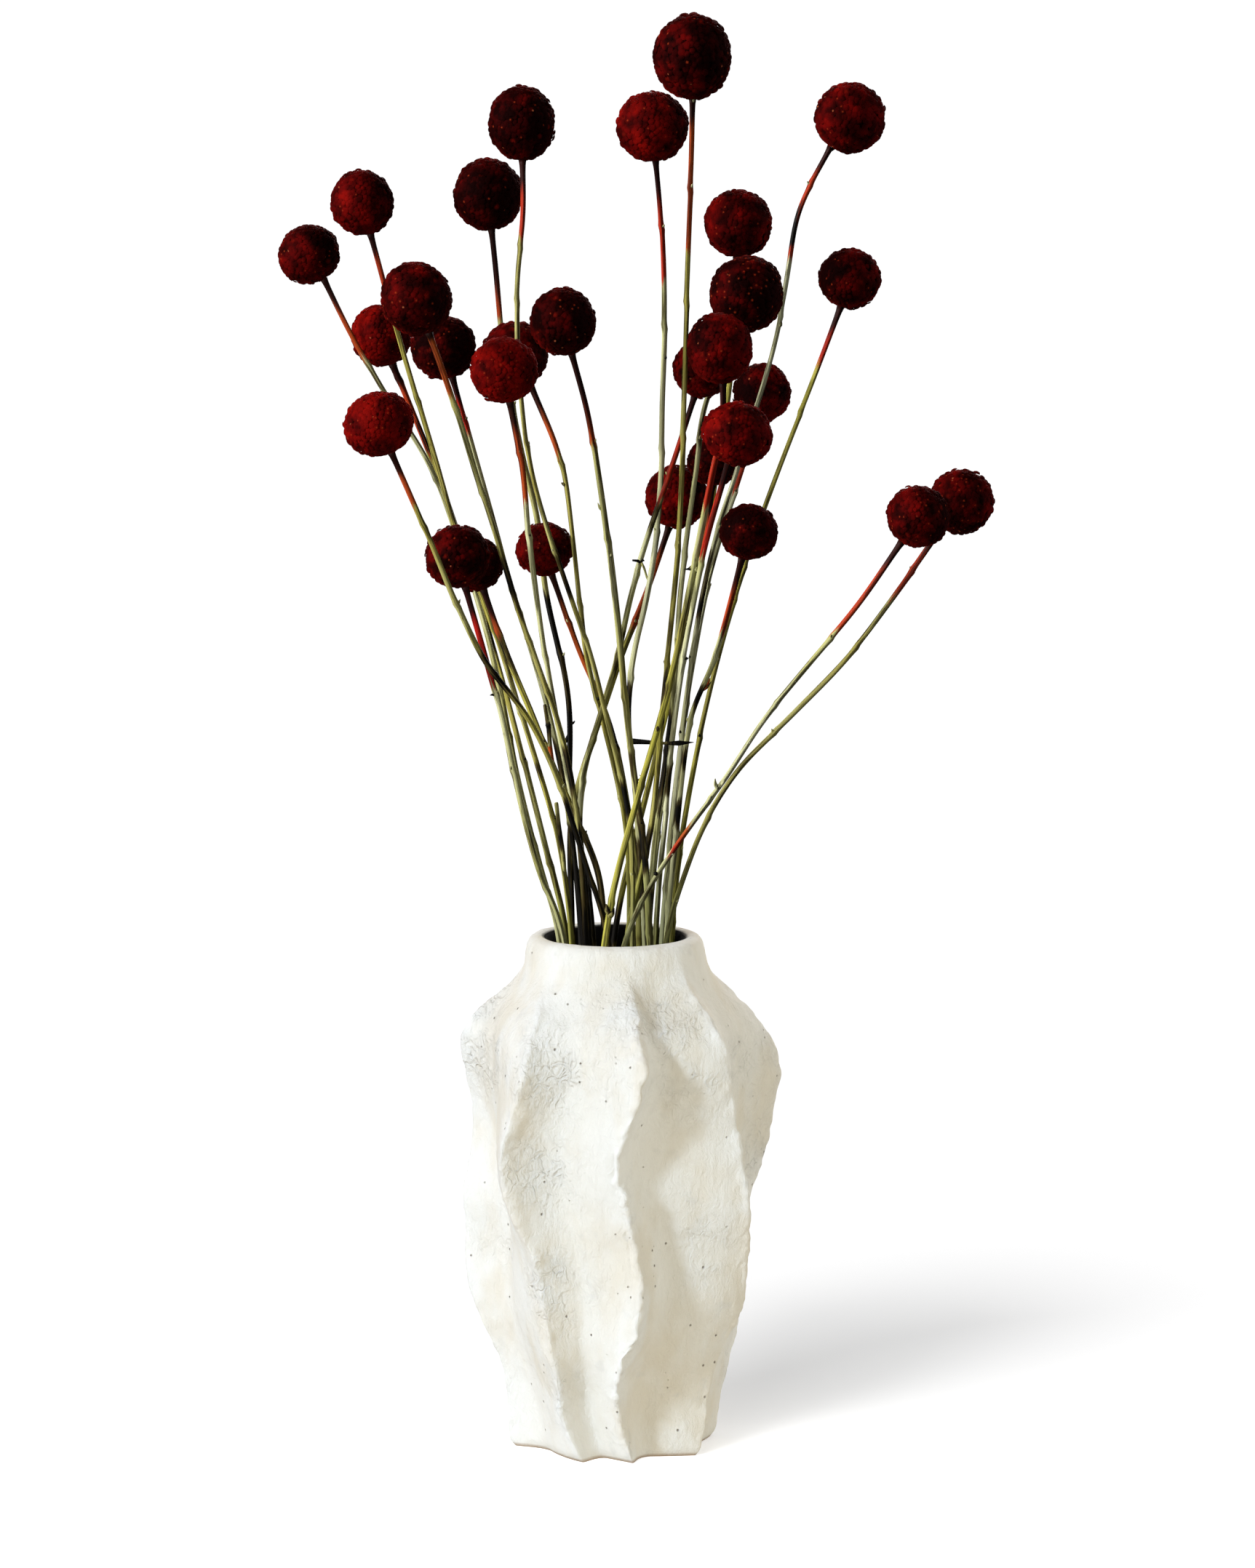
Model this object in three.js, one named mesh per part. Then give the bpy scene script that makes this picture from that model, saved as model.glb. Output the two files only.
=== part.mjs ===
// Dried billy buttons: 29 round dyed flower heads on thin bent stems, in a hand-shaped vase with seven
// wavy fins. Millimetres, +Z up, +X to the right and -Y towards the viewer. The origin is the middle
// of the vase's flat foot.

import * as THREE from 'three';
import { ConvexGeometry } from 'three/addons/geometries/ConvexGeometry.js';

const RAD = Math.PI / 180;

// Vase
const VASE_HEIGHT = 212;
const FOOT_ROUNDING = 1.5;
const FLOOR_HEIGHT = 7;
const FLOOR_RADIUS = 27;
const NECK_BORE = 26.4;
const LIP_RADIUS = 36.3;
const FIN_BULGE = 4;
const FIN_BULGE_PITCH = 116;
const FIN_BULGE_TOP = 188;
const FIN_BULGE_FADE_TOP = 20;
const FIN_BULGE_FADE_FOOT = 45;
const VALLEY_PLACE = 0.3;
const RIGHT_FLANK_POWER = 0.8;
const LEFT_HOLLOW_POWER = 1.7;

// Flower heads
const FLORETS = 48;
const FLORET_RELIEF = 0.12;
const FLORET_UNEVENNESS = 0.03;
const SEAT_DEPTH = 0.94;

// Stems
const STEM_TOP_RADIUS = 1.1;
const STEM_FOOT_RADIUS = 1.5;
const STEM_SIDES = 5;
const TOUCH_GAP = 0.3;
const CLEARANCE = 0.45;

// Outer size of the vase along the crests of its fins, as [height, radius].
const CREST_PROFILE = [
  [0, 43.5], [12, 45.3], [30, 48.6], [48, 55], [66, 58.5], [89, 59], [107, 62], [135, 63.5],
  [158, 65.5], [171, 63], [180, 56.5], [188, 48], [194, 41.2], [199, 37.7], [208, LIP_RADIUS],
];

// How far the hollows between the fins lie inside the crests, as [height, depth].
const FIN_DEPTH = [
  [0, 10.5], [30, 11], [66, 13.5], [107, 15], [135, 14.5], [158, 14], [171, 11], [180, 8], [189, 4.5],
  [197, 0], [VASE_HEIGHT, 0],
];

// The hollow inside, as [height, radius].
const CAVITY_PROFILE = [
  [FLOOR_HEIGHT, FLOOR_RADIUS], [24, 31], [60, 38], [100, 41], [140, 42.5], [172, 41], [186, 36],
  [193, 30], [198, 27], [207, NECK_BORE],
];

// Each fin wanders from side to side on its way up. Angles are in degrees from the front, positive to
// the right, at the heights in FIN_HEIGHTS. The bulge is the height where its outward swell begins.
const FIN_HEIGHTS = [0, 12, 34, 54, 80, 105, 127, 150, 176, 199];
const FINS = [
  { bulge: 53, angles: [-81, -83, -86, -90, -96, -94, -100, -98, -92, -96] },
  { bulge: 96, angles: [-18, -24, -28, -31, -35, -42, -45, -38, -37, -44] },
  { bulge: 20, angles: [10, 4, 1, 7, 11, 6, 1, 7, 10, 8] },
  { bulge: 70, angles: [52, 53, 59, 67, 64, 58, 55, 52, 47, 44] },
  { bulge: 118, angles: [110, 111, 114, 116, 110, 104, 101, 98, 101, 100] },
  { bulge: 40, angles: [150, 156, 160, 156, 150, 152, 158, 156, 150, 152] },
  { bulge: 85, angles: [214, 210, 204, 202, 208, 212, 208, 202, 204, 206] },
];

// Places of the wall's columns between one crest and the next.
const FIN_COLUMNS = [0, 0.09, 0.3, 0.55, 0.78, 0.93];
const OUTER_HEIGHTS = [
  2, 12, 23, 34, 44, 54, 65, 76, 87, 98, 109, 120, 131, 142, 152, 162, 170, 177, 183, 189, 194, 199,
  204, 208,
];
const LIP_RINGS = [[211, 34.6], [VASE_HEIGHT, 31.4], [210.8, 28.2]];

// One row for each flower. The head has its centre, its width and its height along the stem. The stem
// has the bends that it takes from under the head downwards, and the spot where it enters the mouth.
// All places are [right, back, up].
const FLOWERS = [
  {
    head: [31, -38, 574], size: [31, 35], mouth: [5, -8],
    stem: [[31, -37, 549], [29, -31, 484], [28, -28, 443], [26, -22, 382], [20, -15, 315],
      [14, -10, 254]],
  },
  {
    head: [15, 14, 542], size: [29, 29], mouth: [12, -8],
    stem: [[18, 10, 512], [20, 6, 472], [19, 2, 428], [18, -2, 389], [12, -6, 347], [5, -8, 314],
      [7, -9, 287]],
  },
  {
    head: [95, 8, 546], size: [28, 29], mouth: [19, 3],
    stem: [[82, 6, 526], [72, 3, 503], [66, -3, 468], [59, -8, 440], [49, -10, 406], [39, -8, 373],
      [31, -2, 328], [24, 3, 267]],
  },
  {
    head: [-38, 6, 544], size: [27, 31], mouth: [7, -14],
    stem: [[-37, 2, 513], [-40, -1, 473], [-38, -3, 431], [-34, -5, 403], [-24, -8, 369],
      [-11, -11, 332], [-3, -12, 301], [6, -13, 259]],
  },
  {
    head: [-52, 32, 513], size: [28, 30], mouth: [-14, 4],
    stem: [[-49, 31, 485], [-46, 30, 453], [-40, 28, 414], [-32, 27, 382], [-30, 25, 356],
      [-27, 20, 330], [-23, 14, 299]],
  },
  {
    head: [-103, 15, 511], size: [25, 27], mouth: [-18, -6],
    stem: [[-96, 17, 485], [-87, 20, 451], [-76, 22, 414], [-64, 23, 373], [-51, 18, 340],
      [-36, 6, 294], [-24, -3, 255]],
  },
  {
    head: [-125, 25, 489], size: [25, 24], mouth: [-23, -3],
    stem: [[-116, 25, 474], [-101, 24, 445], [-89, 24, 425], [-75, 25, 402], [-62, 26, 366],
      [-49, 16, 321], [-40, 4, 277], [-31, -2, 242]],
  },
  {
    head: [50, 32, 501], size: [27, 28], mouth: [0, 14],
    stem: [[49, 31, 479], [47, 26, 438], [41, 22, 403], [34, 15, 362], [24, 12, 317], [13, 12, 270]],
  },
  {
    head: [53, -8, 476], size: [29, 32], mouth: [14, 2],
    stem: [[49, -7, 453], [37, -5, 433], [32, -5, 397], [27, -4, 358], [24, -2, 310], [18, 0, 259]],
  },
  {
    head: [42, -40, 457], size: [26, 29], mouth: [-4, -20],
    stem: [[44, -38, 434], [39, -35, 403], [34, -32, 374], [25, -27, 328], [15, -24, 291],
      [6, -21, 259]],
  },
  {
    head: [35, -16, 446], size: [23, 23], mouth: [-11, 1],
    stem: [[30, -13, 427], [18, -7, 391], [9, -3, 364], [-1, -1, 320], [-11, 0, 288], [-15, 1, 265]],
  },
  {
    head: [96, 48, 477], size: [25, 25], mouth: [23, 3],
    stem: [[89, 44, 454], [78, 38, 428], [65, 29, 395], [52, 20, 359], [38, 11, 309], [27, 4, 251]],
  },
  {
    head: [60, 28, 432], size: [23, 25], mouth: [20, 10],
    stem: [[54, 26, 408], [46, 23, 383], [38, 20, 355], [30, 15, 311], [24, 12, 266]],
  },
  {
    head: [49, -54, 424], size: [28, 25], mouth: [16, 7],
    stem: [[42, -46, 400], [36, -38, 378], [29, -24, 343], [23, -10, 299], [19, 1, 256]],
  },
  {
    head: [40, 8, 406], size: [21, 20], mouth: [14, 11],
    stem: [[39, 8, 386], [33, 9, 359], [27, 10, 326], [21, 11, 281], [17, 11, 248]],
  },
  {
    head: [25, 20, 390], size: [25, 26], mouth: [-17, 8],
    stem: [[19, 18, 366], [7, 14, 338], [-6, 11, 300], [-15, 9, 273], [-18, 8, 259]],
  },
  {
    head: [54, -25, 381], size: [23, 23], mouth: [21, -3],
    stem: [[48, -22, 357], [40, -15, 327], [31, -10, 304], [25, -5, 256]],
  },
  {
    head: [122, -40, 389], size: [25, 25], mouth: [4, -19],
    stem: [[109, -38, 368], [91, -33, 343], [64, -28, 310], [42, -24, 276], [21, -20, 246]],
  },
  {
    head: [140, -14, 392], size: [26, 27], mouth: [21, -11],
    stem: [[123, -13, 368], [104, -12, 340], [82, -12, 314], [56, -12, 289], [40, -12, 267],
      [27, -11, 235]],
  },
  {
    head: [-80, -40, 477], size: [28, 30], mouth: [-12, -7],
    stem: [[-68, -36, 445], [-59, -30, 414], [-49, -24, 382], [-38, -17, 344], [-23, -10, 300],
      [-17, -8, 272]],
  },
  {
    head: [-96, 33, 455], size: [24, 26], mouth: [-20, 0],
    stem: [[-85, 33, 428], [-74, 30, 401], [-58, 26, 354], [-47, 18, 317], [-37, 8, 281],
      [-28, 2, 246]],
  },
  {
    head: [-70, 14, 452], size: [26, 26], mouth: [-14, -1],
    stem: [[-61, 12, 421], [-52, 9, 383], [-42, 6, 346], [-33, 4, 320], [-23, 0, 280]],
  },
  {
    head: [-21, -42, 468], size: [26, 28], mouth: [14, -14],
    stem: [[-12, -37, 435], [-5, -30, 392], [1, -24, 344], [5, -19, 301], [12, -15, 246]],
  },
  {
    head: [-41, 14, 449], size: [27, 27], mouth: [6, 5],
    stem: [[-25, 10, 420], [-20, 6, 387], [-16, 3, 356], [-12, 1, 328], [-6, 0, 306], [3, 1, 270],
      [6, 3, 244]],
  },
  {
    head: [-45, -17, 446], size: [27, 27], mouth: [-10, 9],
    stem: [[-38, -12, 409], [-36, -8, 385], [-33, -3, 358], [-29, 2, 328], [-25, 5, 304],
      [-17, 8, 258]],
  },
  {
    head: [-95, -45, 427], size: [28, 26], mouth: [-3, -13],
    stem: [[-80, -41, 393], [-70, -38, 368], [-54, -30, 331], [-39, -24, 311], [-25, -18, 283],
      [-13, -14, 246]],
  },
  {
    head: [-64, -18, 370], size: [26, 26], mouth: [-21, -10],
    stem: [[-56, -17, 340], [-51, -16, 323], [-46, -14, 304], [-38, -12, 266], [-31, -11, 240]],
  },
  {
    head: [-57, 5, 364], size: [22, 22], mouth: [-4, -6],
    stem: [[-48, 4, 336], [-40, 3, 318], [-30, 0, 293], [-18, -4, 265], [-8, -6, 243]],
  },
  {
    head: [-29, 8, 370], size: [23, 22], mouth: [9, -1],
    stem: [[-22, 7, 349], [-14, 5, 331], [-5, 2, 307], [2, 0, 276], [8, -1, 238]],
  },
];

// Heights at which every stem has a joint between two straight stretches.
const STEM_HEIGHTS = [
  FLOOR_HEIGHT + TOUCH_GAP, 70, 130, 172, 192, 206, 220, 238, 258, 280, 304, 328, 352, 378, 404, 430,
  456, 482, 508, 530,
];
const LAST_STRETCH = 12;
const FOOT_SWING = 45;
const FOOT_SPREAD = 24;

// Bending clear
const BEND_ROUNDS = 200;
const SETTLING_ROUNDS = 60;
const PUSH_SHARE = 0.6;
const SIDE_SHARE = 0.3;
const EASING = 0.3;
const PULL_BACK = 0.01;
const RIM_REACH = 15;
const RIM_FLARE = 0.2;

const UP = new THREE.Vector3(0, 0, 1);
const BACK = new THREE.Vector3(0, 1, 0);

// Repeatable random numbers from 0 to 1.
function randomFrom(seed) {
  let state = seed * 7919 + 12345;
  return () => {
    state = (state * 1664525 + 1013904223) % 4294967296;
    return state / 4294967296;
  };
}

// Smooth reading of a list of [place, value] pairs.
function readList(list, place) {
  const last = list.length - 1;
  if (place <= list[0][0]) return list[0][1];
  if (place >= list[last][0]) return list[last][1];
  let i = 0;
  while (list[i + 1][0] < place) i += 1;
  const slope = (k) => {
    const a = list[Math.max(k - 1, 0)];
    const b = list[Math.min(k + 1, last)];
    return (b[1] - a[1]) / (b[0] - a[0]);
  };
  const span = list[i + 1][0] - list[i][0];
  const t = (place - list[i][0]) / span;
  const t2 = t * t;
  const t3 = t2 * t;
  return (2 * t3 - 3 * t2 + 1) * list[i][1] + (t3 - 2 * t2 + t) * span * slope(i)
    + (3 * t2 - 2 * t3) * list[i + 1][1] + (t3 - t2) * span * slope(i + 1);
}

function makeGeometry(points, faces) {
  const geometry = new THREE.BufferGeometry();
  const flat = points.flatMap((p) => (p.isVector3 ? [p.x, p.y, p.z] : p));
  geometry.setAttribute('position', new THREE.Float32BufferAttribute(flat, 3));
  geometry.setIndex(faces.flat());
  geometry.computeVertexNormals();
  return geometry;
}

// Rings of equal length joined into one skin, closed by a fan at each end.
function closeRings(rings, firstCentre, lastCentre) {
  const count = rings[0].length;
  const points = rings.flat();
  const faces = [];
  for (let i = 0; i + 1 < rings.length; i += 1) {
    for (let j = 0; j < count; j += 1) {
      const a = i * count + j;
      const b = i * count + ((j + 1) % count);
      faces.push([a, b, b + count], [a, b + count, a + count]);
    }
  }
  const first = points.push(firstCentre) - 1;
  const last = points.push(lastCentre) - 1;
  const lastRing = (rings.length - 1) * count;
  for (let j = 0; j < count; j += 1) {
    faces.push([first, (j + 1) % count, j]);
    faces.push([last, lastRing + j, lastRing + ((j + 1) % count)]);
  }
  return makeGeometry(points, faces);
}

// Angle of a column of the wall, between the crests of a fin and the next one.
function columnAngle(fin, place, height) {
  const crest = (k) => readList(FIN_HEIGHTS.map((h, i) => [h, FINS[k].angles[i]]), height);
  const next = (fin + 1) % FINS.length;
  const turn = next === 0 ? 360 : 0;
  return (crest(fin) * (1 - place) + (crest(next) + turn) * place) * RAD;
}

// A fin falls off steeply on its right and slopes in a long hollow on its left.
function hollowShare(place) {
  if (place < VALLEY_PLACE) return Math.sin((place / VALLEY_PLACE) * 0.5 * Math.PI) ** RIGHT_FLANK_POWER;
  const rise = (place - VALLEY_PLACE) / (1 - VALLEY_PLACE);
  return 1 - rise ** LEFT_HOLLOW_POWER;
}

function finBulge(fin, height) {
  const wave = Math.sin(((height - FINS[fin].bulge) / FIN_BULGE_PITCH) * 2 * Math.PI);
  const fade = Math.min(1, (FIN_BULGE_TOP - height) / FIN_BULGE_FADE_TOP, height / FIN_BULGE_FADE_FOOT);
  return FIN_BULGE * wave * Math.max(0, fade);
}

function outerRadius(fin, place, height) {
  const hollow = hollowShare(place);
  const bulge = finBulge(fin, height) * (1 - place) + finBulge((fin + 1) % FINS.length, height) * place;
  return readList(CREST_PROFILE, height) - readList(FIN_DEPTH, height) * hollow + bulge * (1 - hollow);
}

function vaseRing(height, radiusAt) {
  const ring = [];
  for (let fin = 0; fin < FINS.length; fin += 1) {
    for (const place of FIN_COLUMNS) {
      const angle = columnAngle(fin, place, height);
      const radius = radiusAt(fin, place);
      ring.push([radius * Math.sin(angle), -radius * Math.cos(angle), height]);
    }
  }
  return ring;
}

function vaseGeometry() {
  const foot = vaseRing(0, (fin, place) => outerRadius(fin, place, 0) - FOOT_ROUNDING);
  const outside = OUTER_HEIGHTS.map((h) => vaseRing(h, (fin, place) => outerRadius(fin, place, h)));
  const lip = LIP_RINGS.map(([h, radius]) => vaseRing(h, () => radius));
  const inside = [...CAVITY_PROFILE].reverse().map(([h, radius]) => vaseRing(h, () => radius));
  return closeRings([foot, ...outside, ...lip, ...inside], [0, 0, 0], [0, 0, FLOOR_HEIGHT]);
}

// Directions spread evenly over a ball, with the lowest two places given up for the stem's seat.
function floretDirections() {
  const goldenAngle = Math.PI * (3 - Math.sqrt(5));
  const directions = [new THREE.Vector3(0, 0, -1)];
  for (let i = 2; i < FLORETS; i += 1) {
    const z = -1 + (2 * i + 1) / FLORETS;
    const ring = Math.sqrt(1 - z * z);
    const turn = i * goldenAngle;
    directions.push(new THREE.Vector3(ring * Math.cos(turn), ring * Math.sin(turn), z));
  }
  return directions;
}

// Triangles between neighbouring florets, as triples of floret numbers.
function floretTriangles(directions) {
  const key = (x, y, z) => `${x.toFixed(4)} ${y.toFixed(4)} ${z.toFixed(4)}`;
  const numbers = new Map(directions.map((d, i) => [key(d.x + 0, d.y + 0, d.z + 0), i]));
  const position = new ConvexGeometry(directions).getAttribute('position');
  const triangles = [];
  for (let i = 0; i < position.count; i += 3) {
    triangles.push([0, 1, 2].map((k) => {
      return numbers.get(key(position.getX(i + k), position.getY(i + k), position.getZ(i + k)));
    }));
  }
  return triangles;
}

const DIRECTIONS = floretDirections();
const TRIANGLES = floretTriangles(DIRECTIONS);

// A ball of florets: every floret is a low peak, and the valleys lie where three florets meet.
function headGeometry([width, height], seed) {
  const random = randomFrom(seed);
  const points = DIRECTIONS.map((d) => {
    return d.clone().multiplyScalar(1 + FLORET_UNEVENNESS * (1 - random()));
  });
  const valleys = TRIANGLES.map((triangle) => {
    const middle = triangle.reduce((sum, n) => sum.add(DIRECTIONS[n]), new THREE.Vector3());
    return points.push(middle.normalize().multiplyScalar(1 - FLORET_RELIEF)) - 1;
  });
  const across = new Map();
  TRIANGLES.forEach((triangle, t) => {
    triangle.forEach((a, k) => across.set(`${a} ${triangle[(k + 1) % 3]}`, valleys[t]));
  });
  const faces = [];
  across.forEach((valley, edge) => {
    const [a, b] = edge.split(' ').map(Number);
    faces.push([a, across.get(`${b} ${a}`), valley]);
  });
  for (const p of points) {
    p.z = Math.max(p.z, -SEAT_DEPTH);
    p.multiply(new THREE.Vector3(width / 2, width / 2, height / 2));
  }
  return makeGeometry(points, faces);
}

// Height of the point on a curve is found by halving, because every stem climbs all the way.
function pointAtHeight(curve, height) {
  let low = 0;
  let high = 1;
  for (let i = 0; i < 30; i += 1) {
    const middle = (low + high) / 2;
    if (curve.getPoint(middle).z < height) low = middle;
    else high = middle;
  }
  return curve.getPoint(low);
}

// A flower as drawn: its head, the direction it faces, and the joints of its stem from the foot up.
function drawFlower({ head, size, mouth, stem }) {
  const centre = new THREE.Vector3(...head);
  const bends = stem.map((p) => new THREE.Vector3(...p));
  const facing = centre.clone().sub(bends[0]).normalize();
  const seat = centre.clone().addScaledVector(facing, -(SEAT_DEPTH * size[1]) / 2 - TOUCH_GAP);
  const entry = new THREE.Vector3(mouth[0], mouth[1], VASE_HEIGHT);
  const lowest = bends[bends.length - 1];
  const lean = lowest.clone().sub(entry).divideScalar(lowest.z - entry.z);
  const foot = entry.clone().addScaledVector(lean, -FOOT_SWING).setZ(0).clampLength(0, FOOT_SPREAD);
  foot.z = STEM_HEIGHTS[0];
  const climb = [foot, entry, ...bends.reverse().filter((p) => p.z < seat.z - LAST_STRETCH / 2), seat];
  const curve = new THREE.CatmullRomCurve3(climb, false, 'centripetal');
  const joints = STEM_HEIGHTS.filter((h) => h < seat.z - LAST_STRETCH).map((h) => pointAtHeight(curve, h));
  joints[0].copy(foot);
  joints.push(seat);
  return { centre, facing, size, joints, drawn: joints.map((p) => p.clone()) };
}

function stemRadius(height) {
  const top = STEM_HEIGHTS[STEM_HEIGHTS.length - 1];
  return STEM_FOOT_RADIUS + (STEM_TOP_RADIUS - STEM_FOOT_RADIUS) * Math.min(1, height / top);
}

// Nearest places of two straight stretches, as the share along each of them.
function nearestShares(a0, a1, b0, b1) {
  const u = a1.clone().sub(a0);
  const v = b1.clone().sub(b0);
  const w = a0.clone().sub(b0);
  const uu = u.dot(u);
  const uv = u.dot(v);
  const vv = v.dot(v);
  const cross = uu * vv - uv * uv;
  const clamp = (t) => Math.min(1, Math.max(0, t));
  let s = cross > 1e-9 ? clamp((uv * v.dot(w) - vv * u.dot(w)) / cross) : 0.5;
  const t = clamp((uv * s + v.dot(w)) / vv);
  s = clamp((uv * t - u.dot(w)) / uu);
  return [s, t];
}

// Moves the joints at both ends of a stretch sideways, but never a foot's height or a seat.
function pushStretch(joints, i, share, push) {
  if (i > 0) joints[i].addScaledVector(push, 1 - share);
  else joints[i].addScaledVector(push, 0.5 * (1 - share));
  if (i + 1 < joints.length - 1) joints[i + 1].addScaledVector(push, share);
}

// Most of a push goes forwards or backwards, so the bunch keeps its outline from the front.
function sideways(apart, missing) {
  const push = new THREE.Vector3(SIDE_SHARE * apart.x, apart.y, 0);
  if (push.length() < 0.05) push.set(0, 1, 0);
  return push.setLength(missing);
}

function pushStemsApart(one, other) {
  for (let i = 0; i + 1 < one.joints.length; i += 1) {
    for (let j = Math.max(0, i - 1); j <= i + 1 && j + 1 < other.joints.length; j += 1) {
      const [s, t] = nearestShares(one.joints[i], one.joints[i + 1], other.joints[j], other.joints[j + 1]);
      const p = one.joints[i].clone().lerp(one.joints[i + 1], s);
      const q = other.joints[j].clone().lerp(other.joints[j + 1], t);
      const missing = stemRadius(p.z) + stemRadius(q.z) + CLEARANCE - p.distanceTo(q);
      if (missing > 0) {
        const push = sideways(p.sub(q), missing * PUSH_SHARE);
        pushStretch(one.joints, i, s, push);
        pushStretch(other.joints, j, t, push.negate());
      }
    }
  }
}

function pushStemOffHead(flower, head) {
  const reach = Math.max(...head.size) / 2 + CLEARANCE;
  for (let i = 0; i + 1 < flower.joints.length; i += 1) {
    const [a, b] = [flower.joints[i], flower.joints[i + 1]];
    const line = new THREE.Line3(a, b);
    const share = line.closestPointToPointParameter(head.centre, true);
    const p = line.at(share, new THREE.Vector3());
    const missing = reach + stemRadius(p.z) - p.distanceTo(head.centre);
    if (missing > 0) pushStretch(flower.joints, i, share, sideways(p.sub(head.centre), missing));
  }
}

function keepInsideVase(joints) {
  for (const p of joints) {
    const above = Math.max(0, p.z - VASE_HEIGHT);
    const room = readList(CAVITY_PROFILE, p.z) + RIM_FLARE * above;
    const limit = room - stemRadius(p.z) - 2 * CLEARANCE;
    const reach = Math.hypot(p.x, p.y);
    if (above < RIM_REACH && reach > limit) {
      p.x *= limit / reach;
      p.y *= limit / reach;
    }
  }
}

// Spreads each joint's move to its neighbours, so a stem bends in long curves.
function easeMoves({ joints, drawn }) {
  const moves = joints.map((p, i) => p.clone().sub(drawn[i]));
  for (let i = 1; i + 1 < joints.length; i += 1) {
    const around = moves[i - 1].clone().add(moves[i + 1]).multiplyScalar(0.5);
    moves[i].lerp(around, EASING).multiplyScalar(1 - PULL_BACK);
    joints[i].copy(drawn[i]).add(moves[i]);
  }
}

// Stems that would cross each other, a head or the vase are bent clear, a little at a time.
function bendClear(flowers) {
  for (let round = 0; round < BEND_ROUNDS + SETTLING_ROUNDS; round += 1) {
    if (round < BEND_ROUNDS) flowers.forEach(easeMoves);
    flowers.forEach((one, n) => flowers.slice(n + 1).forEach((other) => pushStemsApart(one, other)));
    for (const flower of flowers) {
      flowers.filter((head) => head !== flower).forEach((head) => pushStemOffHead(flower, head));
      keepInsideVase(flower.joints);
    }
  }
}

function stemGeometry({ joints, facing }) {
  const last = joints.length - 1;
  const rings = joints.map((p, i) => {
    let along = facing;
    if (i === 0) along = UP;
    else if (i < last) {
      const below = p.clone().sub(joints[i - 1]).normalize();
      along = joints[i + 1].clone().sub(p).normalize().add(below).normalize();
    }
    const side = new THREE.Vector3().crossVectors(BACK, along).normalize();
    const back = new THREE.Vector3().crossVectors(along, side);
    const radius = stemRadius(p.z);
    return Array.from({ length: STEM_SIDES }, (_, k) => {
      const angle = (2 * Math.PI * k) / STEM_SIDES;
      return p.clone().addScaledVector(side, radius * Math.cos(angle))
        .addScaledVector(back, radius * Math.sin(angle));
    });
  });
  return closeRings(rings, joints[0].clone(), joints[last].clone());
}

function matte(color, roughness) {
  return new THREE.MeshStandardMaterial({ color, roughness, metalness: 0 });
}

const vaseMaterial = () => matte(0xf1ede2, 0.92);
const headMaterial = () => matte(0x5c0a0b, 0.95);
const stemMaterial = () => matte(0x7f7b3f, 0.7);

const bunch = new THREE.Group();

const vase = new THREE.Mesh(vaseGeometry(), vaseMaterial());
vase.name = 'vase';
bunch.add(vase);

const flowers = FLOWERS.map(drawFlower);
bendClear(flowers);
flowers.forEach((flower, n) => {
  const number = String(n + 1).padStart(2, '0');
  const head = new THREE.Mesh(headGeometry(flower.size, n + 1), headMaterial());
  head.name = `head_${number}`;
  head.position.copy(flower.centre);
  head.quaternion.setFromUnitVectors(UP, flower.facing);
  bunch.add(head);
  const stem = new THREE.Mesh(stemGeometry(flower), stemMaterial());
  stem.name = `stem_${number}`;
  bunch.add(stem);
});

export default bunch;
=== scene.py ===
"""Looks for dried billy buttons in a hand-shaped vase. Lengths are in metres."""

import math
from itertools import product

import bmesh
import bpy
import numpy as np
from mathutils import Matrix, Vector


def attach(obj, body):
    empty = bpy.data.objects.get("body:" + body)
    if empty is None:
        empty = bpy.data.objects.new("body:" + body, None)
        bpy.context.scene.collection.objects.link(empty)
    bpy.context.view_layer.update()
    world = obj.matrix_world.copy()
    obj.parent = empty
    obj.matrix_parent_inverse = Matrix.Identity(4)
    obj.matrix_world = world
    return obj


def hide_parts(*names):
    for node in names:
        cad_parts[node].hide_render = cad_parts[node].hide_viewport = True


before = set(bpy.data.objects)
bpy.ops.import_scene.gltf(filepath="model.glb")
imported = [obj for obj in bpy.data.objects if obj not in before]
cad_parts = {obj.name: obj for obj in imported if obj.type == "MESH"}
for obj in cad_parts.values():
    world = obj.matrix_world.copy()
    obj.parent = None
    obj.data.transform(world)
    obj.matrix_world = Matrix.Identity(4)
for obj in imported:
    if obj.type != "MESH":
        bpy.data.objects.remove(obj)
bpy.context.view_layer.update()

# Camera
# A long lens four metres in front of the vase, a little above it and looking down at it, so the
# mouth shows as a narrow ellipse. Colours are shown as they are, without a film curve.
FILM_WIDTH = 36
LENS_LENGTH = 227.1
CAMERA_PLACE = (0.00495, -4.0, 0.85)
CAMERA_TILT = math.radians(81.81)

lens = bpy.data.cameras.new("long_lens")
lens.sensor_width = FILM_WIDTH
lens.lens = LENS_LENGTH
camera = bpy.data.objects.new("camera", lens)
camera.location = CAMERA_PLACE
camera.rotation_euler = (CAMERA_TILT, 0, 0)
bpy.context.scene.collection.objects.link(camera)
bpy.context.scene.camera = camera
bpy.context.scene.view_settings.view_transform = "Standard"


# Floor
# A plain pale studio floor that runs out of the picture on all sides, matt and almost white,
# with a faint unevenness. Only the camera sees its glow, so it doesn't light the flowers.
def place(tree, kind, settings=None, sockets=None):
    """Adds a shader node. A socket takes a plain value or the output of another node."""
    step = tree.nodes.new("ShaderNode" + kind)
    for name, value in (settings or {}).items():
        setattr(step, name, value)
    for name, value in (sockets or {}).items():
        if isinstance(value, bpy.types.NodeSocket):
            tree.links.new(value, step.inputs[name])
        else:
            step.inputs[name].default_value = value
    return step


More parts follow.
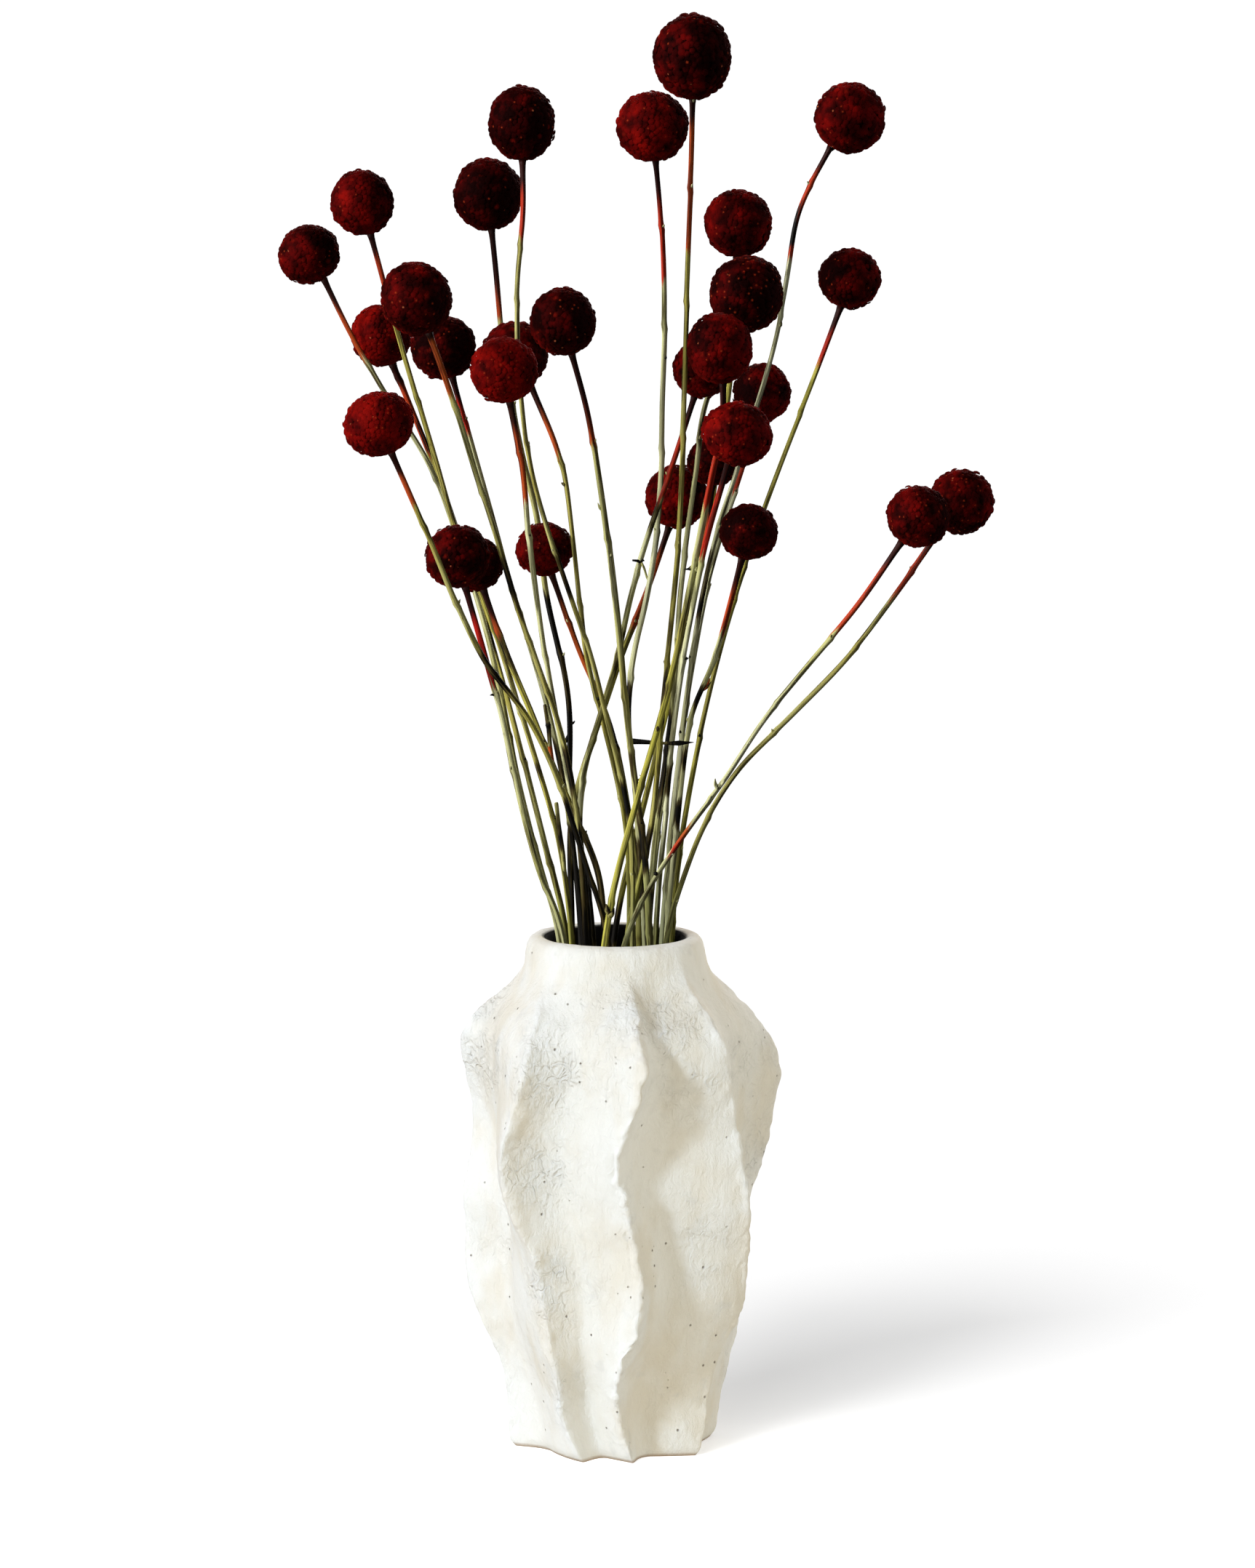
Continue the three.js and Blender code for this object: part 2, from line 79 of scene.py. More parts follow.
def colour(red, green, blue):
    """A colour given as it looks on paper, from 0 to 255, in the shader's own scale."""
    shades = [c / 255 for c in (red, green, blue)]
    return [c / 12.92 if c < 0.04 else ((c + 0.055) / 1.055) ** 2.4 for c in shades] + [1]


def mix_colours(tree, share, under, over):
    """The under colour turned into the over colour by a share from 0 to 1."""
    mix = place(tree, "Mix", {"data_type": "RGBA"}, {0: share, 6: under, 7: over})
    return mix.outputs[2]


def noise_in(tree, vector, scale, detail=2.0, **more):
    """Cloudy noise in space, of a given fineness."""
    sockets = {"Vector": vector, "Scale": scale, "Detail": detail, **more}
    return place(tree, "TexNoise", None, sockets).outputs


def new_material(name):
    material = bpy.data.materials.new(name)
    material.use_nodes = True
    material.node_tree.nodes.clear()
    return material, material.node_tree


FLOOR_REACH = 30
FLOOR_GLOW = 0.56

floor_mesh = bpy.data.meshes.new("studio_floor")
corners = [(-1, -1), (1, -1), (1, 1), (-1, 1)]
floor_mesh.from_pydata([(x * FLOOR_REACH, y * FLOOR_REACH, 0) for x, y in corners], [], [(0, 1, 2, 3)])
floor = bpy.data.objects.new("studio_floor", floor_mesh)
bpy.context.scene.collection.objects.link(floor)

floor_material, tree = new_material("pale_floor")
ground = place(tree, "TexCoord").outputs["Object"]
cloud = noise_in(tree, ground, 6.0, 3.0)[0]
floor_tint = mix_colours(tree, cloud, colour(226, 226, 227), colour(233, 233, 233))
matt = place(tree, "BsdfPrincipled", None, {"Base Color": colour(110, 110, 110), "Roughness": 0.9})
lit = place(tree, "BsdfPrincipled", None, {
    "Base Color": floor_tint, "Roughness": 0.9,
    "Emission Color": (1, 1, 1, 1), "Emission Strength": FLOOR_GLOW,
})
seen = place(tree, "LightPath").outputs["Is Camera Ray"]
either = place(tree, "MixShader", None, {0: seen, 1: matt.outputs[0], 2: lit.outputs[0]})
place(tree, "OutputMaterial", None, {"Surface": either.outputs[0]})
floor_mesh.materials.append(floor_material)

# Light
# Soft studio lights, each kept to the pot, the stems, the heads or the floor. The main ones come from
# the upper left. Wide cards on the other sides open the shade, and two lamps in front throw the long
# pale shadow of the pot back across the floor.
def shine(name, strength, softness, source, receivers, blockers=None, tint=(1, 1, 1)):
    """A broad soft light that reaches only its receivers. Blockers, if given, are all that shades it."""
    lamp = bpy.data.lights.new(name, "SUN")
    lamp.energy = strength
    lamp.color = tint
    lamp.angle = math.radians(softness)
    holder = bpy.data.objects.new(name, lamp)
    holder.rotation_euler = Vector(source).to_track_quat("Z", "Y").to_euler()
    holder.light_linking.receiver_collection = receivers
    holder.light_linking.blocker_collection = blockers
    bpy.context.scene.collection.objects.link(holder)


on_floor, on_pot, on_stems, on_heads = (
    bpy.data.collections.new(f"lit_{what}") for what in ("floor", "pot", "stems", "heads")
)
on_floor.objects.link(floor)
shine("pot_key", 2.00, 7, (-0.80, -0.80, 0.50), on_pot, None, (0.60, 0.745, 0.95))
shine("pot_fill", 0.86, 150, (0.15, -1.0, 0.10), on_pot, on_pot, (1.0, 0.99, 0.78))
shine("pot_side", 0.98, 90, (1.0, -0.35, 0.0), on_pot, on_pot, (1.0, 1.0, 0.95))
shine("pot_left", 1.40, 90, (-1.0, -0.25, 0.05), on_pot, on_pot, (1.0, 0.96, 0.90))
shine("pot_bounce", 0.42, 120, (0.05, -0.8, -0.65), on_pot, on_pot, (1.0, 0.82, 0.66))
shine("pot_top", 0.80, 60, (-0.2, 0.1, 1.0), on_pot, on_pot, (1.0, 0.85, 0.80))
shine("pot_back", 2.4, 80, (0.25, 1.0, 0.30), on_pot, on_pot, (1.0, 0.97, 0.92))
shine("stem_back", 3.2, 60, (0.1, 1.0, 0.25), on_stems)
shine("head_back", 2.3, 50, (0.1, 1.0, 0.25), on_heads)
shine("head_right", 0.9, 60, (1.0, 0.05, 0.10), on_heads)
shine("stem_key", 4.2, 9, (-1.0, -0.28, 0.35), on_stems)
shine("stem_open_key", 2.9, 20, (-1.0, -0.45, 0.35), on_stems, on_floor)
shine("stem_fill", 0.5, 90, (0.4, -0.9, 0.2), on_stems)
shine("head_key", 1.0, 9, (-1.0, -0.34, 0.40), on_heads)
shine("head_soft_key", 1.8, 30, (-1.0, -0.42, 0.40), on_heads, on_floor)
shine("floor_light", 2.7, 24, (-0.62, -1.0, 0.56), on_floor, on_pot)
shine("floor_low_light", 1.75, 25, (-0.30, -1.0, 0.50), on_floor, on_pot)

room = bpy.data.worlds.new("white_room")
room.use_nodes = True
walls = room.node_tree.nodes["Background"].inputs
walls["Color"].default_value = (1, 1, 1, 1)
walls["Strength"].default_value = 0.06
bpy.context.scene.world = room


# Vase
# A thick-walled pot of white clay, coil built and pinched by hand into seven wavy upright fins,
# brushed with matt white slip over brown grit and fired. It stands on its flat foot.
def rings_of(node):
    """The rings of a solid drawn as a skin over rings, from its foot up, each in turning order."""
    skin = bmesh.new()
    skin.from_mesh(node.data)
    bmesh.ops.remove_doubles(skin, verts=skin.verts, dist=2e-6)
    lowest = min(v.co.z for v in skin.verts)
    foot = [v for v in skin.verts if v.co.z < lowest + 1e-6]
    middle = sum((v.co for v in foot), Vector()) / len(foot)
    centre = min(foot, key=lambda v: (v.co - middle).length)

    def around(v):
        return {e.other_vert(v) for e in v.link_edges}

    first = sorted(around(centre), key=lambda v: math.atan2(v.co.y - middle.y, v.co.x - middle.x))
    rings, seen = [first], {centre, *first}
    while True:
        above = [around(v) - seen for v in rings[-1]]
        upper = [next(iter(above[i] & above[i - 1]), None) for i in range(len(above))]
        if None in upper or len(set(upper)) < len(upper):
            break
        rings.append(upper)
        seen |= set(upper)
    places = np.array([[v.co[:] for v in ring] for ring in rings])
    skin.free()
    return places


def slopes_at(knots, values):
    """Slopes of a smooth curve through the values that hardly swings past them."""
    steps = np.diff(knots).reshape(-1, *[1] * (values.ndim - 1))
    rises = np.diff(values, axis=0) / steps
    before, after = rises[:-1], rises[1:]
    shared = (before * steps[1:] + after * steps[:-1]) / (steps[1:] + steps[:-1])
    limit = 3 * np.minimum(np.abs(before), np.abs(after)) + 0.3 * np.abs(before + after)
    return np.concatenate([rises[:1], np.clip(shared, -limit, limit), rises[-1:]])


def smooth_between(knots, values, places):
    """Reads a smooth curve through values, given at rising knots, at other places."""
    knots, values = np.asarray(knots, float), np.asarray(values, float)
    slopes = slopes_at(knots, values)
    i = np.clip(np.searchsorted(knots, places, side="right") - 1, 0, len(knots) - 2)
    wide = (-1, *[1] * (values.ndim - 1))
    span = (knots[i + 1] - knots[i]).reshape(wide)
    t = (places - knots[i]).reshape(wide) / span
    return ((1 + 2 * t) * (1 - t) ** 2 * values[i] + t * (1 - t) ** 2 * span * slopes[i]
            + t * t * (3 - 2 * t) * values[i + 1] + t * t * (t - 1) * span * slopes[i + 1])


def hills(points, size, seed):
    """Smooth random hills from -1 to 1, of about the given size, at points in space."""
    heights = np.random.default_rng(seed).random(8191) * 2 - 1
    cell = np.floor(points / size).astype(np.int64)
    t = points / size - cell
    t = t * t * (3 - 2 * t)
    total = np.zeros(points.shape[:-1])
    for corner in product((0, 1), repeat=3):
        number = (cell + corner) @ np.array([73, 1571, 3989]) % len(heights)
        total += heights[number] * np.prod(np.where(corner, t, 1 - t), axis=-1)
    return total


def skin_faces(rows, columns):
    """Four-sided faces over a grid of points whose columns close into a ring."""
    i, j = np.meshgrid(np.arange(rows - 1), np.arange(columns), indexing="ij")
    k = (j + 1) % columns
    corners = [i * columns + j, i * columns + k, (i + 1) * columns + k, (i + 1) * columns + j]
    return np.stack(corners, -1).reshape(-1, 4)


def make_piece(name, points, faces, material, node, notes):
    """A smooth mesh piece that stands for a node, with notes for its material on each point."""
    mesh = bpy.data.meshes.new(name)
    mesh.from_pydata(points.reshape(-1, 3).tolist(), [], [list(map(int, f)) for f in faces])
    mesh.shade_smooth()
    for label, values in notes.items():
        kind = "FLOAT" if values.ndim == 1 else "FLOAT_VECTOR"
        field = "value" if values.ndim == 1 else "vector"
        note = mesh.attributes.new(label, kind, "POINT")
        note.data.foreach_set(field, values.astype(np.float32).ravel())
    mesh.materials.append(material)
    piece = bpy.data.objects.new(name, mesh)
    bpy.context.scene.collection.objects.link(piece)
    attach(piece, "root")
    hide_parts(node)
    return piece


# Where the slip was scrubbed into curls: place across the front, height and size in millimetres.
# The same places come again further round the pot, at these turns.
SCRUBBED_PLACES = [
    (-28, 162, 19), (-8, 197, 13), (24, 191, 17), (34, 163, 17), (-38, 121, 15), (-29, 74, 16),
    (-25, 30, 12), (44, 86, 12), (31, 22, 10), (-57, 163, 10),
]
SCRUB_TURNS = (0, 2.3, 4.2)
FINS = 7
# Where the six columns of a fin stand in the solid, from its crest to the next, and how many it gets.
FIN_COLUMNS = [0, 0.09, 0.3, 0.55, 0.78, 0.93, 1]
COLUMNS_PER_FIN = 48
CREST_CROWDING = 0.45
CREST_ROUNDING = 3
SIDE_SMOOTHING = 14
CREST_WIDTH = 0.045
# How ragged the hand left each fin, in turning order. Fins 2 and 3 stand in front.
RAGGEDNESS = [0.8, 1.5, 2.3, 1.6, 0.8, 0.9, 0.9]
FRONT_FINS = (2, 3)
FRONT_FOLD = 2.45
ROW_STEP = 0.00118
LIP_ROW_STEP = 0.0008
INNER_ROW_STEP = 0.0025
FOOT_EDGE = 0.003
PINCH_HEIGHT = 0.190
PINCH_OUT = 0.0019
PUSH_IN = 0.0026
NECK_RADIUS = 0.045
SHOULDER_RADIUS = 0.064
WALL_RADIUS = 0.055

rings = rings_of(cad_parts["vase"])
turns = np.unwrap(np.arctan2(rings[:, :, 1], rings[:, :, 0]), axis=1)
# The columns crowd at the crests, so the rings are turned until one of the crests comes first.
gaps = np.diff(turns[0], append=turns[0, 0] + math.tau)
crowded = [(gaps + np.roll(gaps, 1))[k::6].sum() for k in range(6)]
rings = np.roll(rings, -int(np.argmin(crowded)), axis=1)
turns = np.unwrap(np.arctan2(rings[:, :, 1], rings[:, :, 0]), axis=1)
turns = np.unwrap(turns, axis=0)
reach = np.hypot(rings[:, :, 0], rings[:, :, 1])
heights = rings[:, :, 2]

profile = np.stack([reach.mean(1), heights.mean(1)], -1)
path = np.concatenate([[0], np.cumsum(np.hypot(*np.diff(profile, axis=0).T))])
lip = path[int(np.argmax(profile[:, 1]))]
rows = np.concatenate([
    np.linspace(0, FOOT_EDGE, 5)[:-1],
    np.arange(FOOT_EDGE, lip - 0.008, ROW_STEP),
    np.arange(lip - 0.008, lip + 0.012, LIP_ROW_STEP),
    np.arange(lip + 0.012, lip + 0.05, INNER_ROW_STEP),
    np.linspace(lip + 0.05, path[-1], 22),
])
shape = smooth_between(path, np.stack([turns, reach, heights], -1), rows)

steps = np.arange(COLUMNS_PER_FIN) / COLUMNS_PER_FIN
across = steps - CREST_CROWDING * np.sin(math.tau * steps) / math.tau
fins = []
for fin in range(FINS):
    columns = np.arange(6 * fin, 6 * fin + 7) % (6 * FINS)
    part = shape[:, columns].copy()
    if fin == FINS - 1:
        part[:, 6, 0] += math.tau
    fins.append(smooth_between(FIN_COLUMNS, part.transpose(1, 0, 2), across).transpose(1, 0, 2))
wall = np.concatenate(fins, axis=1)
points = np.stack([
    wall[..., 1] * np.cos(wall[..., 0]), wall[..., 1] * np.sin(wall[..., 0]), wall[..., 2],
], -1)
for _ in range(CREST_ROUNDING):
    points = (np.roll(points, 1, 1) + 2 * points + np.roll(points, -1, 1)) / 4
standing = np.clip(np.minimum(rows - 0.004, lip - 0.004 - rows) / 0.006, 0, 1)[:, None, None]
for _ in range(SIDE_SMOOTHING):
    eased = points.copy()
    eased[1:-1] = (points[:-2] + 2 * points[1:-1] + points[2:]) / 4
    points += (eased - points) * standing

# The two front fins are pinched out right up to the neck, with a deep fold between them.
fin_number = np.repeat(np.arange(FINS), COLUMNS_PER_FIN)
fin_share = np.tile(across, FINS)
fin_turn = fin_number + fin_share
pinched_out = sum(np.exp(-((fin_turn - fin) / 0.13) ** 2) for fin in FRONT_FINS)
pushed_in = np.exp(-((fin_turn - FRONT_FOLD) / 0.26) ** 2)
under_neck = np.exp(-((points[..., 2] - PINCH_HEIGHT) / 0.010) ** 2) * (rows < lip)[:, None]
pull = 1 + (PINCH_OUT * pinched_out - PUSH_IN * pushed_in) * under_neck / NECK_RADIUS
points[..., :2] *= pull[..., None]

# The hand's work: pinched nicks along the fins, thumb dents, and the strokes of the slip brush. Each is
# a height in metres times random hills of a size in metres.
outside = np.clip((lip - rows) / 0.004, 0, 1)[:, None]
low = np.clip((rows - 0.002) / 0.01, 0, 1)[:, None]
body = outside * low
body_share = np.clip((lip - 0.012 - rows) / 0.02, 0, 1)[:, None]
near_crest = np.minimum(across, 1 - across)
crest = np.tile(np.exp(-(near_crest / CREST_WIDTH) ** 2), FINS)
fin_number = np.where(fin_share > 0.5, (fin_number + 1) % FINS, fin_number)
along = np.stack(np.broadcast_arrays(rows[:, None], fin_number[None, :] * 1.7, 0), -1)
sideways = np.roll(points, -1, 1) - np.roll(points, 1, 1)
upward = np.gradient(points, axis=0)
outward = np.cross(sideways, upward)
outward /= np.linalg.norm(outward, axis=-1, keepdims=True) + 1e-12
sideways /= np.linalg.norm(sideways, axis=-1, keepdims=True) + 1e-12
broad_crest = np.sqrt(crest)
crumbs = 0.6 * hills(points, 0.0046, 16) + 0.5 * hills(points, 0.0027, 17)
ragged = np.array(RAGGEDNESS)[fin_number]
nicks = 0.00045 * crest * hills(along, 0.012, 5) + 0.00082 * ragged * broad_crest * crumbs
sway = 0.0015 * hills(along, 0.013, 7) + 0.0012 * ragged * hills(along, 0.0058, 8)
points += (body * body_share * nicks)[..., None] * outward
points += (np.sqrt(broad_crest) * body * body_share * sway)[..., None] * sideways
warp = np.stack([hills(points, 0.012, 30 + k) for k in range(3)], -1)
strokes = hills(points * (1, 1, 0.45) + 0.004 * warp, 0.0035, 12)
dents = 0.00060 * hills(points, 0.022, 9) + 0.00036 * hills(points, 0.009, 10)
relief = dents + 0.00022 * strokes + 0.00012 * hills(points, 0.0022, 13)
points += (relief * (0.25 + 0.75 * body))[..., None] * outward * low[..., None]
points[..., 2] = np.maximum(points[..., 2], 0)

column_count = FINS * COLUMNS_PER_FIN
faces = [list(f) for f in skin_faces(len(rows), column_count)]
flat_points = points.reshape(-1, 3)
foot_rings = [points[0] * (0.6, 0.6, 1), points[0] * (0.2, 0.2, 1)]
flat_points = np.concatenate([flat_points, *foot_rings, [[0, 0, 0]], [[0, 0, points[-1, 0, 2]]]])
outer = len(rows) * column_count
inner, last_row, end = outer + column_count, outer - column_count, outer + 2 * column_count
for j in range(column_count):
    k = (j + 1) % column_count
    faces.append([k, j, outer + j, outer + k])
    faces.append([outer + k, outer + j, inner + j, inner + k])
    faces.append([inner + k, inner + j, end])
    faces.append([last_row + j, last_row + k, end + 1])
extra = len(flat_points) - outer
# Inside the mouth the slip stops a little below the lip; below it the wall is painted near black as painted
# shade.
slip_and_shade_stop = 0.0022 + 0.0010 * hills(points, 0.012, 18)
scrub = np.zeros(points.shape[:2])
for turned_by, (x, height, size) in product(SCRUB_TURNS, SCRUBBED_PLACES):
    way = math.asin(x / 1000 / SHOULDER_RADIUS) - math.pi / 2 + turned_by
    place_on_wall = np.array([WALL_RADIUS * math.cos(way), WALL_RADIUS * math.sin(way), height / 1000])
    scrub += np.exp(-((points - place_on_wall) ** 2).sum(-1) / (size / 1000) ** 2)
scrub = np.clip(1.3 * scrub, 0, 1) * body
slipped_unshaded = np.clip((lip + slip_and_shade_stop - rows[:, None]) / 0.0012, 0, 1)
hollow = np.sin(math.pi * fin_share)
shade_note = np.stack(np.broadcast_arrays(hollow, slipped_unshaded, crest), -1).reshape(-1, 3)
shade_note = np.concatenate([shade_note, np.zeros((extra, 3))])
scrub_note = np.concatenate([scrub.ravel(), np.zeros(extra)])


def start_group(name, starts):
    """A node group with a place in space and these numbers as its inputs, and a mask as its output."""
    group = bpy.data.node_groups.new(name, "ShaderNodeTree")
    group.interface.new_socket(name="Vector", in_out="INPUT", socket_type="NodeSocketVector")
    for label, start in starts.items():
        socket = group.interface.new_socket(name=label, in_out="INPUT", socket_type="NodeSocketFloat")
        socket.default_value = start
    group.interface.new_socket(name="Mask", in_out="OUTPUT", socket_type="NodeSocketFloat")
    return group, group.nodes.new("NodeGroupInput").outputs


def ease(tree, value, start, end):
    """A soft mask that goes from 0 where the value is at its start to 1 at its end."""
    mask = place(tree, "MapRange", {"interpolation_type": "SMOOTHSTEP"}, {
        "Value": value, "From Min": start, "From Max": end,
    })
    return mask.outputs[0]


def grade(tree, value, low, high, start=0.0, end=1.0):
    """A number that goes from low to high as the value goes from its start to its end."""
    step = place(tree, "MapRange", None, {
        "Value": value, "From Min": start, "From Max": end, "To Min": low, "To Max": high,
    })
    return step.outputs[0]


def reckon(tree, operation, a, b=0.0):
    """One sum on one or two numbers, each of which may come from another node."""
    return place(tree, "Math", {"operation": operation}, {0: a, 1: b}).outputs[0]


def swing(tree, noise, reach):
    """A noise from 0 to 1 made to swing about 0, out to half of the reach each way."""
    return reckon(tree, "MULTIPLY", reckon(tree, "SUBTRACT", noise, 0.5), reach)


def patches_group():
    """Soft patches in space: a mask from 0 to 1, made of cloudy noise of a given size."""
    group, ins = start_group("patches", {"Scale": 50.0, "Detail": 3.0, "Low": 0.4, "High": 0.6})
    noise = noise_in(group, ins["Vector"], ins["Scale"], ins["Detail"], Roughness=0.6)[0]
    mask = ease(group, noise, ins["Low"], ins["High"])
    group.links.new(mask, group.nodes.new("NodeGroupOutput").inputs["Mask"])
    return group


def specks_group():
    """Small scattered dots: a mask of 1 in each dot, for pits, specks, scars and painted glints."""
    group, ins = start_group("specks", {"Scale": 200.0, "Size": 0.12, "Share": 0.3})
    cells = place(group, "TexVoronoi", None, {"Vector": ins["Vector"], "Scale": ins["Scale"]})
    dot = ease(group, cells.outputs["Distance"], ins["Size"], 0.0)
    pick = place(group, "SeparateColor", None, {0: cells.outputs["Color"]})
    kept = reckon(group, "LESS_THAN", pick.outputs[0], ins["Share"])
    both = reckon(group, "MULTIPLY", dot, kept)
    group.links.new(both, group.nodes.new("NodeGroupOutput").inputs["Mask"])
    return group


def spread(tree, group, sockets):
    """A group's mask, with this material's own values."""
    return place(tree, "Group", {"node_tree": group}, sockets).outputs["Mask"]


def stretch(tree, vector, share):
    """The same place with its height counted for less, which draws a pattern out upward."""
    return place(tree, "Mapping", None, {"Vector": vector, "Scale": (1, 1, share)}).outputs[0]


def note_on(tree, label, output="Vector"):
    """What a piece's points say under a label: a number, or three in one."""
    return place(tree, "Attribute", {"attribute_name": label}).outputs[output]


def parts_of(tree, vector):
    """The three numbers of a vector."""
    parts = place(tree, "SeparateXYZ", None, {0: vector})
    return [parts.outputs[k] for k in range(3)]


def lay_over(tree, tint, layers):
    """Colours laid over a tint in turn, each where its mask is and as strongly as it says."""
    for mask, strength, look in layers:
        tint = mix_colours(tree, reckon(tree, "MULTIPLY", mask, strength), tint, colour(*look))
    return tint


def finish_material(tree, sockets):
    skin = place(tree, "BsdfPrincipled", None, sockets)
    place(tree, "OutputMaterial", None, {"Surface": skin.outputs[0]})


patches = patches_group()
specks = specks_group()

slip, tree = new_material("white_brushed_slip")
spot = place(tree, "TexCoord").outputs["Object"]
hollow_shade, is_slipped_unshaded, on_crest = parts_of(tree, note_on(tree, "fin_place"))
bend = noise_in(tree, spot, 120.0)["Color"]
swirl = place(tree, "VectorMath", {"operation": "SCALE"}, {0: bend, "Scale": 0.006}).outputs[0]
brushed = place(tree, "VectorMath", {"operation": "ADD"}, {0: spot, 1: swirl}).outputs[0]
strokes_noise = noise_in(tree, stretch(tree, brushed, 0.4), 520.0, 4.0, Roughness=0.65)[0]
curls = noise_in(tree, brushed, 220.0, 0.6, Distortion=0.9)[0]
curl_edge = reckon(tree, "ABSOLUTE", reckon(tree, "SUBTRACT", curls, 0.5))
curl_line = ease(tree, curl_edge, 0.20, 0.0)
scrub_edge = spread(tree, patches, {"Vector": spot, "Scale": 45.0, "Low": 0.34, "High": 0.56})
scrubbed = reckon(tree, "MULTIPLY", note_on(tree, "scrubbed", "Fac"), scrub_edge)
scratch = reckon(tree, "MULTIPLY", curl_line, scrubbed)
grain = noise_in(tree, spot, 2600.0)[0]
warm = spread(tree, patches, {
    "Vector": stretch(tree, spot, 0.55), "Scale": 34.0, "Low": 0.42, "High": 0.66,
})
grey = spread(tree, patches, {"Vector": spot, "Scale": 90.0, "Low": 0.6, "High": 0.74})
pits = spread(tree, specks, {"Vector": spot, "Scale": 200.0, "Size": 0.13, "Share": 0.32})
foot_edge = grade(tree, parts_of(tree, spot)[2], 0.75, 0.0, 0.0004, 0.0018)
tint = mix_colours(tree, warm, colour(243, 241, 235), colour(235, 228, 214))
# The hollows between the fins are painted darker and warmer: painted shade.
tint = lay_over(tree, tint, [
    (hollow_shade, 0.24, (224, 214, 192)), (grey, 0.22, (206, 205, 200)),
    (reckon(tree, "MULTIPLY", on_crest, 0.25), grey, (190, 186, 178)),
    (scrubbed, 0.16, (214, 213, 208)), (pits, 0.75, (136, 108, 82)), (foot_edge, 1.0, (168, 138, 104)),
])
# Where the slip stops inside the mouth the wall is painted near black: painted shade.
tint = mix_colours(tree, is_slipped_unshaded, colour(7, 5, 4), tint)
scrub_depth = reckon(tree, "ADD", 0.52, reckon(tree, "MULTIPLY", scrubbed, 0.50))
height = reckon(tree, "MULTIPLY", strokes_noise, scrub_depth)
for marks, depth in ((grain, 0.08), (pits, -0.8), (scratch, 0.34)):
    height = reckon(tree, "ADD", height, reckon(tree, "MULTIPLY", marks, depth))
bump = place(tree, "Bump", None, {"Height": height, "Strength": 1.0, "Distance": 0.0014})
finish_material(tree, {
    "Base Color": tint, "Roughness": grade(tree, strokes_noise, 0.72, 0.92),
    "Specular IOR Level": 0.04, "Normal": bump.outputs[0],
})

pot = make_piece("finned_vase", flat_points, faces, slip, "vase", {
    "fin_place": shade_note, "scrubbed": scrub_note,
})
on_pot.objects.link(pot)


# Flower heads
# Each is a ball of several hundred tiny dried florets packed on one round core, grown on the tip of
# its stem and dyed deep crimson. The florets are low soft beads with painted shade in the gaps between
# them. The dye took unevenly, and every ball also has painted shade on one side, on the right unless listed.
FLORETS = 480
FLORET_SPREAD = 0.60
FLORET_SETTLING = 14
LOBES = 5
SEAT_SHARE = 0.94
SEAT_GAP = 0.0003
CORE_SHARE = 0.93
BALL_SHARE = 0.70
PAINTED_SHADE_DEPTH = 0.95
# How bright each ball took the dye.
BRIGHT_HEADS = {
    1: 0.3, 2: 0.62, 3: 0.53, 4: 0.11, 5: 0.12, 6: 0.55, 7: 0.45, 8: 0.4, 9: 0.15, 10: 0.54, 11: 0.46,
    12: 0.33, 13: 0.36, 14: 0.59, 15: 0.18, 16: 0.5, 17: 0.24, 18: 0.43, 19: 0.36, 20: 0.35, 21: 0.69,
    22: 0.2, 23: 0.08, 24: 0.44, 25: 0.75, 26: 0.72, 27: 0.36, 28: 0.5, 29: 0.5,
}
# Where the painted shade on a ball's dark side faces, in degrees on the face of a clock that runs from
# the right up, and how dark it is. The others get their painted shade on the right.
PAINTED_SHADE_SIDES = {
    3: (-60, 0.3), 4: (0, 0.7), 5: (-15, 0.8), 7: (35, 0.9), 8: (-90, 0.3), 9: (-10, 0.8), 10: (170, 0.4),
    12: (175, 0.7), 13: (190, 0.8), 14: (-20, 0.2), 17: (130, 0.8), 19: (250, 0.9), 20: (-10, 0.5),
    21: (-30, 0.5), 22: (10, 1.5), 25: (-40, 0.1), 26: (-60, 0.15), 28: (-10, 1.0),
}
PLAIN_PAINTED_SHADE_SIDE = (10, 0.6)
# How many of a ball's florets show a light tip: partly their own orange tip, partly a painted glint.
SPECKLED = {9: 0.24, 25: 0.14, 26: 0.12, 19: 0.16, 14: 0.10, 20: 0.09, 7: 0.09, 18: 0.08}
PLAIN_SPECKLE = 0.05


def ramp(tree, share, looks):
    """Colours that turn into one another as a share goes from 0 to 1."""
    step = place(tree, "ValToRGB", None, {0: share})
    band = step.color_ramp.elements
    for at, look in looks.items():
        stop = band.new(at) if 0 < at < 1 else band[0 if at == 0 else -1]
        stop.color = colour(*look)
    return step.outputs[0]


crimson, tree = new_material("dyed_florets")
spot = place(tree, "TexCoord").outputs["Object"]
own, lift_from_gap_shade, tip_and_glint = parts_of(tree, note_on(tree, "floret"))
clouds = noise_in(tree, spot, 140.0, 3.0)[0]
fuzz = noise_in(tree, spot, 2400.0)[0]
# Glints are painted highlights, small light dots on the florets.
glints = spread(tree, specks, {"Vector": spot, "Scale": 330.0, "Size": 0.20, "Share": 0.07})
blooms = spread(tree, specks, {"Vector": spot, "Scale": 290.0, "Size": 0.45, "Share": 0.14})
# The florets' own tone carries the painted shade of the ball's dark side as well as the dye.
dye_and_side_shade = reckon(tree, "ADD", own, swing(tree, clouds, 2.1))
reds = ramp(tree, dye_and_side_shade, {0: (22, 1, 1), 0.3: (62, 4, 4), 0.65: (112, 8, 7), 1: (156, 15, 9)})
